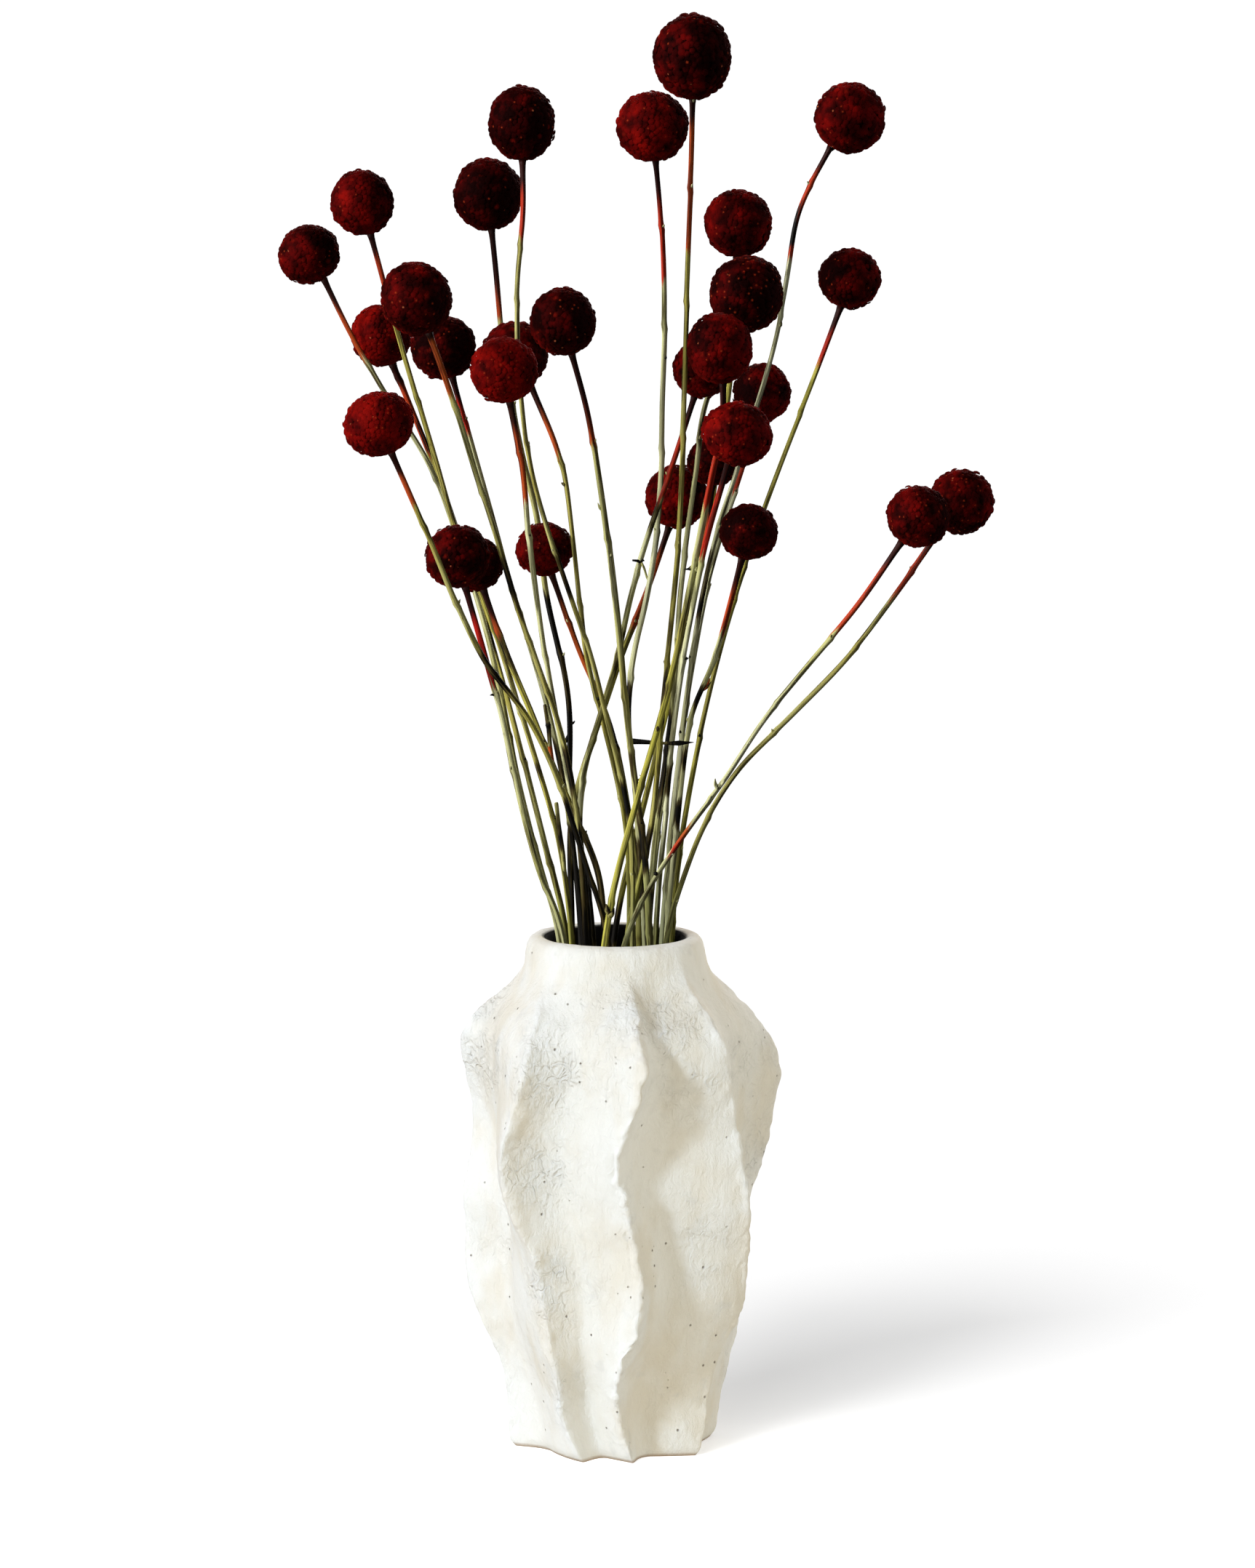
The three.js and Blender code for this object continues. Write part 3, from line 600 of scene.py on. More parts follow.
# The first layer is painted shade, darkening the low gaps between the florets.
tint = lay_over(tree, reds, [
    (grade(tree, lift_from_gap_shade, 0.10, 0.0), 1.0, (20, 1, 2)), (tip_and_glint, 0.7, (206, 74, 36)),
    (blooms, 0.5, (158, 30, 16)), (glints, 0.9, (236, 128, 84)),
])
ball_way = place(tree, "VectorTransform", {
    "vector_type": "NORMAL", "convert_from": "OBJECT", "convert_to": "WORLD",
}, {0: note_on(tree, "ball_way")}).outputs[0]
soft_way = place(tree, "Mix", {"data_type": "VECTOR"}, {
    0: BALL_SHARE, 4: place(tree, "NewGeometry").outputs["Normal"], 5: ball_way,
}).outputs[1]
bump = place(tree, "Bump", None, {
    "Height": fuzz, "Strength": 0.5, "Distance": 0.00025,
    "Normal": place(tree, "VectorMath", {"operation": "NORMALIZE"}, {0: soft_way}).outputs[0],
})
finish_material(tree, {
    "Base Color": tint, "Roughness": 0.7, "Specular IOR Level": 0.02, "Normal": bump.outputs[0],
    "Sheen Weight": 0.35, "Sheen Roughness": 0.45, "Sheen Tint": colour(190, 34, 20),
})


def directions(vectors):
    """The same vectors, each with a length of 1."""
    return vectors / np.linalg.norm(vectors, axis=1, keepdims=True)


def floret_directions(count, seed):
    """Directions spread over a ball as florets grow: crowded evenly, but in no strict rows."""
    number = np.arange(count)
    up = 1 - (2 * number + 1) / count
    turn = number * math.pi * (3 - math.sqrt(5))
    ring = np.sqrt(1 - up * up)
    spread_out = np.stack([ring * np.cos(turn), ring * np.sin(turn), up], -1)
    room = math.sqrt(4 * math.pi / count)
    spread_out += np.random.default_rng(seed).normal(0, 0.42 * room, spread_out.shape)
    for _ in range(FLORET_SETTLING):
        spread_out = directions(spread_out)
        apart = spread_out[:, None] - spread_out[None]
        gap = np.linalg.norm(apart, axis=2) + 1e-9
        push = np.clip(1.08 * room - gap, 0, None) / gap
        spread_out += 0.22 * (apart * push[..., None]).sum(1)
    return directions(spread_out)


def floret_pattern():
    """One floret 1 wide: a skirt, a scalloped rim, a rounded shoulder and a slightly sunken eye."""
    # The third number of each point is its lift, 0 in the skirt and 1 at the eye; the material paints shade
    # into the low gaps by it.
    rings = [
        [(0.60, -0.19, 0.0)] * LOBES,
        [(0.46, -0.02, 0.8), (0.38, 0.0, 0.7)] * LOBES,
        [(0.22, 0.085, 0.9)] * LOBES,
    ]
    places, lift_from_gap_shade = [], []
    for ring in rings:
        for k, (out, up, light) in enumerate(ring):
            turn = math.tau * k / len(ring)
            places.append((out * math.cos(turn), out * math.sin(turn), up))
            lift_from_gap_shade.append(light)
    places.append((0, 0, 0.10))
    lift_from_gap_shade.append(1.0)
    faces = []
    rim, shoulder, eye = LOBES, 3 * LOBES, 4 * LOBES
    for k in range(LOBES):
        neighbour = (k + 1) % LOBES
        this, notch, after = rim + 2 * k, rim + 2 * k + 1, rim + (2 * k + 2) % (2 * LOBES)
        faces += [(k, notch, this), (k, neighbour, notch), (neighbour, after, notch)]
        faces += [(this, notch, shoulder + k), (notch, shoulder + neighbour, shoulder + k)]
        faces += [(notch, after, shoulder + neighbour), (shoulder + k, shoulder + neighbour, eye)]
    return np.array(places), np.array(lift_from_gap_shade), np.array(faces)


pattern, pattern_lift_from_gap_shade, pattern_faces = floret_pattern()
growths = [floret_directions(FLORETS, seed) for seed in range(4)]
core = bmesh.new()
bmesh.ops.create_icosphere(core, subdivisions=3, radius=1)
core_points = np.array([v.co[:] for v in core.verts])
core_faces = np.array([[v.index for v in f.verts] for f in core.faces])
core.free()

for number in range(1, 30):
    dice = np.random.default_rng(100 + number)
    solid = np.array([v.co[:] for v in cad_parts[f"head_{number:02d}"].data.vertices])
    seat = rings_of(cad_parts[f"stem_{number:02d}"])[-1].mean(0)
    up = solid.mean(0) - seat
    up /= np.linalg.norm(up)
    side = np.cross(up, (0.3, 1, 0.2))
    side /= np.linalg.norm(side)
    turned = np.stack([side, np.cross(up, side), up])
    local = (solid - seat) @ turned.T
    half_height = (local[:, 2].max() - SEAT_GAP) / (1 + SEAT_SHARE)
    half_width = np.hypot(local[:, 0], local[:, 1]).max()
    centre = seat + up * (SEAT_GAP + SEAT_SHARE * half_height)
    radii = np.array([half_width, half_width, half_height])

    spin = dice.random() * math.tau
    cos, sin = math.cos(spin), math.sin(spin)
    turn = np.array([[cos, -sin, 0], [sin, cos, 0], [0, 0, 1]])
    facing = growths[number % len(growths)] @ turn
    facing = facing[facing[:, 2] > -0.96]
    grown = len(facing)
    width = math.sqrt(4 * math.pi / FLORETS) * radii.mean() * (1 + dice.normal(0, 0.10, grown))
    lumps = 1 + 0.022 * hills(facing + number * 3.7, 0.5, 40)
    roots = facing * (radii * lumps[:, None] - 0.13 * width[:, None])
    roots += facing * dice.normal(0, 0.00026, grown)[:, None]
    lean = directions(facing + dice.normal(0, 0.11, facing.shape))
    one = directions(np.cross(lean, (0.31, 0.52, 0.79)))
    two = np.cross(lean, one)
    angle = dice.random(grown) * math.tau
    first = one * np.cos(angle)[:, None] + two * np.sin(angle)[:, None]
    axes = np.stack([first, np.cross(lean, first), lean], 1)
    size = (2 * FLORET_SPREAD * width)[:, None, None]
    beads = roots[:, None] + size * np.einsum("pk,nkc->npc", pattern, axes)
    core_part = core_points * radii * CORE_SHARE
    core_part[:, 2] -= 0.1 * half_height * np.clip((-0.75 - core_points[:, 2]) / 0.2, 0, 1)
    core_part[:, 2] = np.maximum(core_part[:, 2], -SEAT_SHARE * half_height - 0.0002)
    beads[..., 2] = np.maximum(beads[..., 2], -SEAT_SHARE * half_height - 0.0006)
    local_points = np.concatenate([beads.reshape(-1, 3), core_part])
    head_points = local_points @ turned + centre
    bead_faces = pattern_faces[None] + np.arange(grown)[:, None, None] * len(pattern)
    head_faces = np.concatenate([bead_faces.reshape(-1, 3), core_faces + grown * len(pattern)])

    # Each floret's tone is lowered on the ball's dark side: painted shade.
    clock, shade_darkness = PAINTED_SHADE_SIDES.get(number, PLAIN_PAINTED_SHADE_SIDE)
    toward = np.array([math.cos(math.radians(clock)), 0.35, math.sin(math.radians(clock))])
    painted_shade = np.clip((facing @ turned) @ toward + 0.15, 0, 1) * shade_darkness
    own = BRIGHT_HEADS[number] + 0.035 * dice.normal(0, 1, grown) - PAINTED_SHADE_DEPTH * painted_shade
    speckled = dice.random(grown) < SPECKLED.get(number, PLAIN_SPECKLE)
    bright = np.repeat(speckled, len(pattern)) * np.tile(pattern_lift_from_gap_shade > 0.95, grown)
    note = np.stack([np.repeat(own, len(pattern)), np.tile(pattern_lift_from_gap_shade, grown), bright], -1)
    # The core shows only in the gaps, so it gets a darker tone and half lift: painted shade.
    note = np.concatenate([note, np.tile((BRIGHT_HEADS[number] - 0.25, 0.5, 0), (len(core_part), 1))])
    ball_way = directions(local_points / radii ** 2) @ turned
    head = make_piece(f"flower_head_{number:02d}", head_points, head_faces, crimson,
                      f"head_{number:02d}", {"floret": note, "ball_way": ball_way})
    on_heads.objects.link(head)


# Stems
# Dried flower stalks, thin, ribbed and streaked, with a small swelling and a leaf scar every few
# centimetres. They stand loose in the pot, on its floor. The dye has soaked into the top of each;
# below they are olive, straw, brown or black.

# The height in millimetres down to which the dye has soaked.
DYE_ENDS = {
    1: 495, 2: 480, 3: 490, 5: 462, 6: 468, 7: 447, 8: 452, 9: 440, 10: 392, 12: 441, 14: 372, 17: 338,
    18: 340, 19: 352, 20: 437, 22: 416, 23: 417, 24: 408, 25: 391, 26: 393, 27: 317, 28: 334, 29: 311,
}
# How the lower stalk is coloured, from pale straw at 0 to yellow olive at 1.
TONES = {
    1: 0.7, 2: 0.15, 3: 0.08, 4: 0.55, 5: 0.45, 6: 0.7, 7: 0.3, 8: 0.85, 9: 0.3, 10: 0.95, 12: 0.85,
    13: 0.0, 14: 0.15, 15: 0.1, 17: 0.2, 18: 0.25, 19: 0.55, 20: 0.55, 21: 0.65, 22: 0.3, 23: 0.4,
    24: 0.6, 25: 0.2, 26: 0.6, 27: 0.3, 28: 0.7, 29: 0.55,
}
# How the dyed part is coloured, from rusty brown at 0 to red at 1.
RUSTS = {
    1: 0.25, 2: 0.8, 6: 0.6, 14: 0.9, 16: 0.3, 17: 0.45, 18: 0.6, 20: 0.1, 22: 0.9, 24: 0.2, 25: 0.3,
    27: 1.0, 28: 0.25, 29: 0.15,
}
# How thick a stalk is against its solid. The others are drawn by lot, and all widen near the head.
WIDTHS = {5: 0.92, 10: 1.0, 23: 0.98, 2: 0.95, 20: 0.92, 16: 0.92, 28: 0.92}
WIDTH_AT_HEAD = 0.97
# How far a stalk is black under its head, in millimetres.
PLAIN_NECK = 16
BLACK_NECKS = {1: 12, 2: 20, 3: 15, 5: 34, 6: 12, 12: 14, 20: 4, 21: 12, 22: 13, 23: 34, 24: 20, 26: 12}
# Stretches drawn black, from and to a height in millimetres, each fading at its ends. Most have
# turned black; those that start at 205 mm, at the pot's mouth, are partly painted shade between the stalks.
BLACK_FADE = 7
BLACK_DEPTH = 0.54
BLACK_STRETCHES = {
    1: [(300, 322), (246, 260)], 2: [(225, 254), (269, 289), (300, 318)], 3: [(345, 372), (493, 512)],
    4: [(352, 372), (265, 277)], 5: [(205, 350)], 6: [(352, 368), (278, 284)], 7: [(352, 362)],
    8: [(205, 225)], 9: [(260, 304), (205, 232)], 11: [(320, 340), (378, 392), (205, 262)],
    13: [(285, 300)], 14: [(268, 284)], 15: [(330, 352), (205, 238)], 16: [(205, 270)],
    17: [(308, 316), (281, 291), (258, 268)], 20: [(205, 258), (272, 292), (355, 372)],
    21: [(325, 340), (405, 422)], 22: [(205, 258), (272, 292)], 23: [(240, 292)], 25: [(205, 262)],
    26: [(205, 271), (318, 334)], 28: [(205, 268), (322, 340)], 29: [(205, 214), (290, 300)],
}
# A stretch low down that is as red as the dyed top, from and to a height in millimetres.
RED_SCARS = {18: (248, 260)}
# Where a stalk bows to the right: at what height, over what length and how far, in millimetres.
DRAWN_ASIDE = {5: [(309, 34, 5.0)], 29: [(328, 26, -2.4)]}
# Stalks that grow paler upward: from what height in millimetres, over what length and by how much.
PALER_UPWARD = {10: (320, 40, 0.6)}
# Below this height a stalk turns mossy green, over this length, both in millimetres.
MOSSY_BELOW = 268
MOSSY_LENGTH = 45
MOSSY_DEPTH = 0.48
# The noise is read this far out from a stalk's middle, and this much further along for the next stalk.
MARKING_RADIUS = 0.0013
MARKING_SHIFT = 0.05
STALK_SIDES = 12
STALK_STEP = 0.002
STALK_SMOOTHING = 9
NODE_SPACING = 0.046
SPRIG_SIDES = 6
# Small ones are drawn by lot at the nodes: above this height, this far below the head, in this share.
SMALL_SPRIG_HEIGHT = 232
SMALL_SPRIG_DEPTH = 0.012
SMALL_SPRIG_SHARE = 0.75
SMALL_SPRIG_LOOKS = ["brown", "straw", "olive", "black", "straw"]
# What a leaf scar or a torn bract looks like: how black, how olive, and how far above the end of the
# dye, in millimetres.
SPRIG_LOOKS = {
    "black": (1.1, 0.3, -60), "brown": (0.62, 0.4, -60), "straw": (0.1, 0.25, -60), "olive": (0.3, 0.5, -60),
    "rust": (0.35, 0.4, 3.0),
}
# Old leaves and broken side shoots: stem, height of the first point in millimetres, then for each point
# its place beside the stem's middle, its radius and its look.
SPRIGS = [
    (2, 293, [(0, 0, 0, 0.9, "olive"), (1.5, -1.2, 0.2, 1.25, "black"), (7, -2, 0, 0.95, "black"),
              (14, -2.4, -0.4, 0.6, "olive"), (20, -2.6, -0.3, 1.1, "black"), (26, -3, 0.1, 0.12, "black")]),
    (2, 277, [(0, 0, 0, 0.5, "brown"), (2.2, -0.4, 0.5, 0.45, "brown"), (2.7, -0.3, 1.7, 0.3, "brown"),
              (1.9, 0, 2.2, 0.1, "brown")]),
    (28, 283, [(0, 0, 0, 0.9, "rust"), (-0.9, -1.3, 7, 0.9, "rust"), (-1.5, -1.7, 14.5, 0.95, "brown"),
               (-1.7, -1.7, 16, 1.2, "black"), (-2.0, -1.8, 17.5, 0.85, "olive"),
               (-3.0, -1.9, 24, 0.75, "olive"), (-3.1, -1.9, 24.4, 0.3, "brown")]),
    (6, 238, [(0, 0, 0, 0.9, "olive"), (-0.5, -1.3, 8, 0.95, "olive"), (-2.2, -1.7, 20, 0.9, "brown"),
              (-3.2, -1.7, 29, 0.85, "olive"), (-3.3, -1.7, 29.4, 0.3, "brown")]),
    (5, 293, [(0, 0, 0, 0.9, "black"), (-1.4, -0.8, -2.5, 0.8, "black"), (-2.6, -1, -5, 0.2, "black")]),
    (5, 297, [(0, 0, 0, 0.8, "black"), (1.5, -0.5, 0.6, 0.5, "black"), (2.1, -0.5, 1.4, 0.15, "black")]),
    (17, 313, [(0, 0, 0, 0.6, "straw"), (1.7, -0.5, 2.2, 0.6, "rust"), (3.3, -0.7, 4.4, 0.7, "rust"),
               (4.1, -0.5, 6.6, 0.25, "rust")]),
    (17, 314, [(0.2, 0, 0, 0.4, "rust"), (2.6, -0.7, 1.8, 0.55, "rust"), (4.4, -0.4, 4.2, 0.15, "brown")]),
    (17, 352, [(0, 0, 0, 0.6, "rust"), (1.0, -0.3, 0.8, 0.5, "black"), (1.4, -0.3, 1.6, 0.2, "black")]),
    (17, 328, [(0, 0, 0, 0.6, "straw"), (1.1, -0.4, -0.6, 0.4, "straw"), (1.5, -0.4, 0.3, 0.15, "straw")]),
    (11, 365, [(0, 0, 0, 0.8, "black"), (0.2, -1.0, 1.5, 0.7, "black"), (-2.6, -1.3, 2.0, 0.4, "black")]),
    (11, 366, [(0, 0, 0, 0.8, "black"), (1.4, -0.8, 0.9, 0.5, "black"), (2.0, -0.8, 0.6, 0.2, "black")]),
    (11, 366, [(0.8, -0.6, 0, 0.5, "olive"), (2.0, -1.0, -2.5, 0.5, "straw"), (3.0, -0.6, -6, 0.45, "straw"),
               (4.4, -0.2, -9.5, 0.2, "olive")]),
    (10, 367, [(-0.6, 0, 0, 1.3, "straw"), (-2.4, -0.6, -0.4, 0.45, "black"),
               (-4.2, -0.6, -0.5, 0.12, "brown")]),
    (10, 367, [(0.6, 0, 0, 1.3, "straw"), (1.8, -0.4, -1.0, 0.9, "straw"), (2.6, -0.3, 0.2, 0.2, "brown")]),
    (10, 300, [(0.1, -0.5, 0, 1.0, "olive"), (0.3, -1.1, 0.9, 0.8, "brown"), (0.4, -1.2, 1.7, 0.3, "brown")]),
    (14, 329, [(0, 0, 0, 1.2, "straw"), (1.0, -0.4, -0.4, 0.8, "black"), (1.9, -0.3, -0.3, 0.2, "black")]),
    (3, 533, [(0, 0, 0, 0.8, "black"), (1.3, -0.2, 0.3, 0.6, "black"), (3.4, -0.2, 1.8, 0.4, "rust"),
              (3.8, 0, 4.2, 0.12, "straw")]),
    (1, 556, [(0.3, -0.9, 0, 0.5, "straw"), (0.4, -1.4, 1.6, 0.6, "straw"), (0.9, -1.2, 3.6, 0.15, "straw")]),
    (7, 467, [(0, 0, 0, 0.6, "rust"), (-1.0, -0.3, 1.2, 0.4, "rust"), (-0.9, -0.2, 2.6, 0.12, "brown")]),
    (24, 396, [(0, 0, 0, 0.8, "brown"), (-1.3, -0.3, 1.0, 0.7, "brown"), (-2.2, -0.3, 1.4, 0.15, "brown")]),
    (23, 390, [(0, 0, 0, 0.7, "olive"), (-1.5, -0.5, 1.4, 0.6, "straw"), (-2.3, -0.6, 3.4, 0.15, "straw")]),
    (23, 371, [(0, 0, 0, 0.8, "straw"), (0.4, -1.1, 0.8, 0.8, "straw"), (0.5, -1.1, 1.8, 0.15, "straw")]),
    (2, 448, [(0, 0, 0, 0.7, "straw"), (0.9, -0.7, 0.9, 0.45, "black"), (0.9, -0.7, 1.8, 0.1, "black")]),
    (3, 462, [(0, 0, 0, 0.9, "straw"), (0.9, -0.4, 0.8, 0.7, "straw"), (1.3, -0.4, 2.2, 0.12, "brown")]),
    (27, 313, [(0, 0, 0, 0.6, "brown"), (-1.8, -0.5, 0.2, 0.5, "black"), (-2.8, -0.6, -0.1, 0.1, "brown")]),
    (18, 276, [(0, 0, 0, 1.1, "straw"), (-1.1, -1.1, 1.8, 0.8, "straw"), (-1.2, -1.4, 4.2, 0.15, "straw")]),
    (18, 277, [(0.3, -0.3, 0, 0.8, "straw"), (1.3, -1.0, 1.5, 0.5, "straw"), (2.2, -1.0, 3.2, 0.1, "straw")]),
    (18, 248, [(0, 0, 0, 0.6, "straw"), (0.9, -0.6, 0.4, 0.4, "straw"), (1.5, -0.6, 1.3, 0.1, "brown")]),
    (18, 240, [(-0.3, -0.5, 0, 0.9, "olive"), (-0.9, -1.1, 0.5, 0.9, "black"),
               (-1.6, -1.1, 0.9, 0.2, "black")]),
    (12, 224, [(0, 0, 0, 0.9, "olive"), (-0.9, -0.8, 0.6, 0.7, "black"), (-1.5, -0.8, 1.5, 0.15, "black")]),
    (19, 227, [(0, 0, 0, 0.9, "straw"), (1.0, -0.6, 0.8, 0.5, "straw"), (1.2, -0.5, 2.2, 0.1, "brown")]),
    (10, 224, [(0, 0, 0, 1.5, "olive"), (-0.9, -0.9, 1.6, 1.2, "brown"), (-1.4, -1.0, 4.0, 0.2, "brown")]),
    (10, 223, [(0, 0, 0, 1.5, "olive"), (1.2, -0.9, 1.2, 1.1, "olive"), (2.0, -0.9, 3.4, 0.2, "black")]),
]

stalk, tree = new_material("dried_stalk")
stalk_place = note_on(tree, "stalk_place")
above_dye, below_head, tone = parts_of(tree, note_on(tree, "stalk_dye"))
blackness, redness, greenness = parts_of(tree, note_on(tree, "stalk_age"))
fibres = noise_in(tree, stretch(tree, stalk_place, 0.04), 1500.0, 3.0)[0]
blotch = noise_in(tree, stretch(tree, stalk_place, 0.22), 150.0, 3.0)[0]
drift = noise_in(tree, stretch(tree, stalk_place, 0.3), 60.0)[0]
streak = spread(tree, patches, {
    "Vector": stretch(tree, stalk_place, 0.06), "Scale": 620.0, "Low": 0.50, "High": 0.60,
})
scars = spread(tree, specks, {
    "Vector": stretch(tree, stalk_place, 0.5), "Scale": 260.0, "Size": 0.18, "Share": 0.3,
})
green = ramp(tree, reckon(tree, "ADD", tone, swing(tree, drift, 1.1)), {
    0: (184, 184, 150), 0.35: (156, 154, 100), 0.65: (136, 128, 62), 1: (164, 158, 64),
})
fresh = reckon(tree, "MULTIPLY", greenness, reckon(tree, "ADD", 0.5, blotch))
wear_and_mouth_shade = reckon(tree, "ADD", blackness, swing(tree, blotch, 1.5))
wear_and_mouth_shade = reckon(tree, "ADD", wear_and_mouth_shade, swing(tree, fibres, 0.9))
leafy = lay_over(tree, green, [
    (fresh, 1.0, (84, 96, 50)), (streak, 0.8, (46, 40, 15)),
    (ease(tree, wear_and_mouth_shade, 0.3, 0.55), 1.0, (57, 47, 21)), (scars, 0.7, (66, 42, 22)),
])
ruddy = mix_colours(tree, redness, colour(150, 70, 25), colour(148, 20, 11))
ruddy = lay_over(tree, ruddy, [(streak, 0.75, (52, 14, 8))])
wander = swing(tree, fibres, 16.0)
dyed = ease(tree, reckon(tree, "ADD", above_dye, wander), -1.5, 2.0)
neck = ease(tree, reckon(tree, "ADD", below_head, wander), 18.0, 9.0)
# The black layer is real blackening and, low down at the mouth, painted shade.
skin = lay_over(tree, mix_colours(tree, dyed, leafy, ruddy), [
    (ease(tree, wear_and_mouth_shade, 0.56, 0.74), 1.0, (9, 7, 4)), (neck, 0.96, (20, 5, 4)),
])
bump = place(tree, "Bump", None, {"Height": fibres, "Strength": 0.7, "Distance": 0.0004})
finish_material(tree, {
    "Base Color": skin, "Roughness": grade(tree, fibres, 0.42, 0.75),
    "Specular IOR Level": 0.08, "Normal": bump.outputs[0],
})


def tube_faces(rings, sides, start=0):
    """Faces of a closed tube: its skin, then a fan at each end to two last points."""
    faces = (skin_faces(rings, sides) + start).tolist()
    end = start + rings * sides
    for j in range(sides):
        k = (j + 1) % sides
        faces.append([start + k, start + j, end])
        faces.append([end - sides + j, end - sides + k, end + 1])
    return faces


def tube_points(line, radius, sides):
    """Points of a round tube along a line, each ring square to it, and the two ends of the line."""
    ahead = directions(np.gradient(line, axis=0))
    across_it = directions(np.cross(ahead, (0.02, 1.0, 0.05)))
    front = np.cross(across_it, ahead)
    turns = np.arange(sides) * math.tau / sides
    cos, sin = np.cos(turns)[None, :, None], np.sin(turns)[None, :, None]
    skin_points = line[:, None] + radius[..., None] * (cos * across_it[:, None] + sin * front[:, None])
    return np.concatenate([skin_points.reshape(-1, 3), line[:1], line[-1:]])


def per_point(values, sides):
    """Values of a tube's rings, given to each of its points."""
    return np.concatenate([np.repeat(values, sides, axis=0), values[:1], values[-1:]])


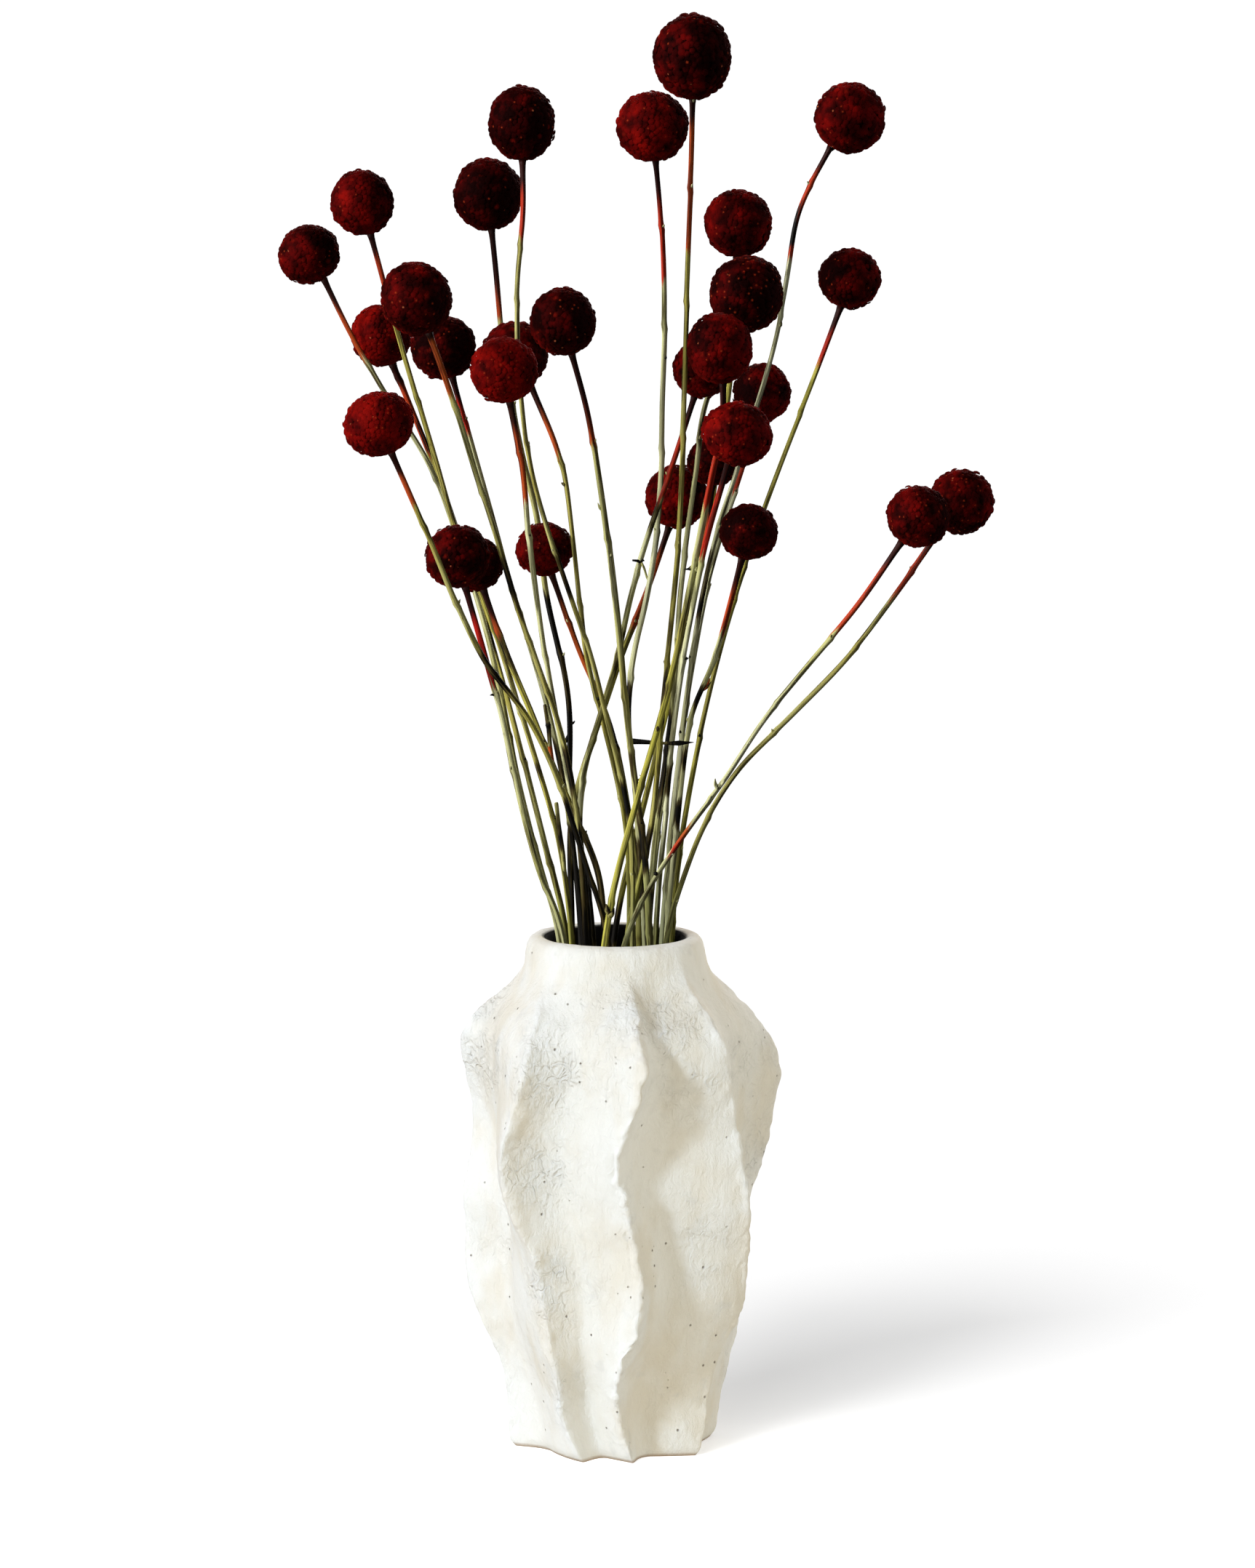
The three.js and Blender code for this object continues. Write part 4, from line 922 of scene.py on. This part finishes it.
for number in range(1, 30):
    dice = np.random.default_rng(500 + number)
    solid_rings = rings_of(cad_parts[f"stem_{number:02d}"])
    line = solid_rings.mean(1)
    thick = np.linalg.norm(solid_rings - line[:, None], axis=2).mean(1)
    run = np.concatenate([[0], np.cumsum(np.linalg.norm(np.diff(line, axis=0), axis=1))])
    count = int(run[-1] / STALK_STEP)
    at = np.linspace(0, run[-1], count)
    middle_line = smooth_between(run, line, at)
    for _ in range(STALK_SMOOTHING):
        middle_line[1:-1] = (middle_line[:-2] + 2 * middle_line[1:-1] + middle_line[2:]) / 4
    from_top = run[-1] - at
    high = middle_line[:, 2]
    high_mm = high * 1000
    for height, reach, aside in DRAWN_ASIDE.get(number, []):
        middle_line[:, 0] += aside / 1000 * np.exp(-((high_mm - height) / reach) ** 2)
    wobble = np.stack([at, np.full(count, number * 0.37), np.zeros(count)], -1)
    slimmer = WIDTHS.get(number, dice.uniform(0.80, 0.90))
    slimmer = slimmer + (WIDTH_AT_HEAD - slimmer) * np.exp(-from_top / 0.03)
    radius = np.interp(at, run, thick) * slimmer * (1 + 0.07 * hills(wobble, 0.03, 61))

    nodes_at = np.arange(dice.uniform(0.02, 0.05), run[-1], NODE_SPACING)
    nodes_at = nodes_at + dice.normal(0, 0.009, len(nodes_at))
    swelling = sum(np.exp(-((from_top - n) / 0.002) ** 2) for n in nodes_at) * 0.22
    kink = sum(np.sign(from_top - n) * np.exp(-np.abs(from_top - n) / 0.012) for n in nodes_at)
    middle_line[:, 0] += 0.00016 * kink
    neck_flare = 0.45 * np.exp(-from_top / 0.0022)
    turns = np.arange(STALK_SIDES) * math.tau / STALK_SIDES
    twist = (math.tau * at / 0.42 + number)[:, None]
    ribs = 0.10 * np.cos(3 * turns + twist) + 0.09 * np.cos(5 * turns - 0.6 * twist)
    rim = radius[:, None] * (1 + (swelling + neck_flare)[:, None] + ribs)
    stem_points = [tube_points(middle_line, rim, STALK_SIDES)]
    stem_faces = tube_faces(count, STALK_SIDES)

    dye_end = DYE_ENDS.get(number, line[-1, 2] * 1000 - dice.uniform(28, 48))
    above = high_mm - dye_end
    red_value = np.full(count, RUSTS.get(number, dice.uniform(0.3, 0.9)))
    if number in RED_SCARS:
        low_end, high_end = RED_SCARS[number]
        down_scar = (high_end - high_mm) / (high_end - low_end)
        scar_red = np.clip(1.6 * down_scar - 0.4, 0, 1)
        red_value = np.where(np.abs(down_scar - 0.5) < 0.7, scar_red, red_value)
        above = np.maximum(above, (high_end - low_end) / 2 - np.abs(high_mm - (low_end + high_end) / 2))
    black = np.full(count, 0.15) + 0.10 * hills(wobble, 0.045, 62)
    for low_end, high_end in BLACK_STRETCHES.get(number, []):
        inside = np.minimum(high_mm - low_end, high_end - high_mm) / BLACK_FADE
        black += BLACK_DEPTH * np.clip(inside + 0.5, 0, 1)
    tone_value = np.full(count, TONES.get(number, dice.uniform(0.25, 0.65)))
    if number in PALER_UPWARD:
        start, length, fade = PALER_UPWARD[number]
        tone_value -= fade * np.clip((high_mm - start) / length, 0, 1)
    shift = number * MARKING_SHIFT
    round_x, round_y = (np.tile(turn(turns) * MARKING_RADIUS, count) for turn in (np.cos, np.sin))
    around = np.stack([round_x, round_y + shift, np.repeat(at, STALK_SIDES)], -1)
    places = [np.concatenate([around, around[:1], around[-1:]])]
    neck_share = from_top * 1000 * PLAIN_NECK / BLACK_NECKS.get(number, PLAIN_NECK)
    dyes = [per_point(np.stack([above, neck_share, tone_value], -1), STALK_SIDES)]
    mossy = np.clip((MOSSY_BELOW - high_mm) / MOSSY_LENGTH, 0, 1)
    green_value = MOSSY_DEPTH * mossy * dice.uniform(0.4, 1.0)
    ages = [per_point(np.stack([black, red_value, green_value], -1), STALK_SIDES)]

    sprigs = [(height, twig) for owner, height, twig in SPRIGS if owner == number]
    for n in nodes_at:
        height = np.interp(run[-1] - n, at, high) * 1000
        if height > SMALL_SPRIG_HEIGHT and n > SMALL_SPRIG_DEPTH and dice.random() < SMALL_SPRIG_SHARE:
            way = dice.random() * math.tau
            look = dice.choice(SMALL_SPRIG_LOOKS)
            out_x, out_y = math.cos(way), -abs(math.sin(way)) if dice.random() < 0.6 else math.sin(way)
            long = dice.uniform(1.2, 2.4)
            sprigs.append((height, [
                (0, 0, 0, 0.8, look), (1.0 * out_x, 1.0 * out_y, 0.5 * long, 0.55, look),
                (1.5 * out_x, 1.5 * out_y, long, 0.12, look),
            ]))
    used = len(stem_points[0])
    for height, twig in sprigs:
        on_line = np.array([np.interp(height / 1000, high, middle_line[:, k]) for k in range(3)])
        path = on_line + np.array([point[:3] for point in twig]) / 1000
        wide = np.array([point[3] for point in twig]) / 1000
        looks = np.array([SPRIG_LOOKS[point[4]] for point in twig], float)
        knots, finer = np.arange(len(path)), np.linspace(0, len(path) - 1, 3 * len(path) - 2)
        curve = smooth_between(knots, path, finer)
        wide = np.interp(finer, knots, wide)
        looks = np.stack([np.interp(finer, knots, looks[:, k]) for k in range(3)], -1)
        piece_points = tube_points(curve, np.repeat(wide[:, None], SPRIG_SIDES, 1), SPRIG_SIDES)
        stem_points.append(piece_points)
        stem_faces += tube_faces(len(curve), SPRIG_SIDES, used)
        used += len(piece_points)
        places.append(piece_points + (0, shift, 0))
        same = np.ones(len(curve))
        dyes.append(per_point(np.stack([looks[:, 2], 60 * same, looks[:, 1]], -1), SPRIG_SIDES))
        ages.append(per_point(np.stack([looks[:, 0], 0.2 * same, 0 * same], -1), SPRIG_SIDES))
    stem = make_piece(f"flower_stem_{number:02d}", np.concatenate(stem_points), stem_faces, stalk,
                      f"stem_{number:02d}", {
                          "stalk_place": np.concatenate(places), "stalk_dye": np.concatenate(dyes),
                          "stalk_age": np.concatenate(ages),
                      })
    on_stems.objects.link(stem)
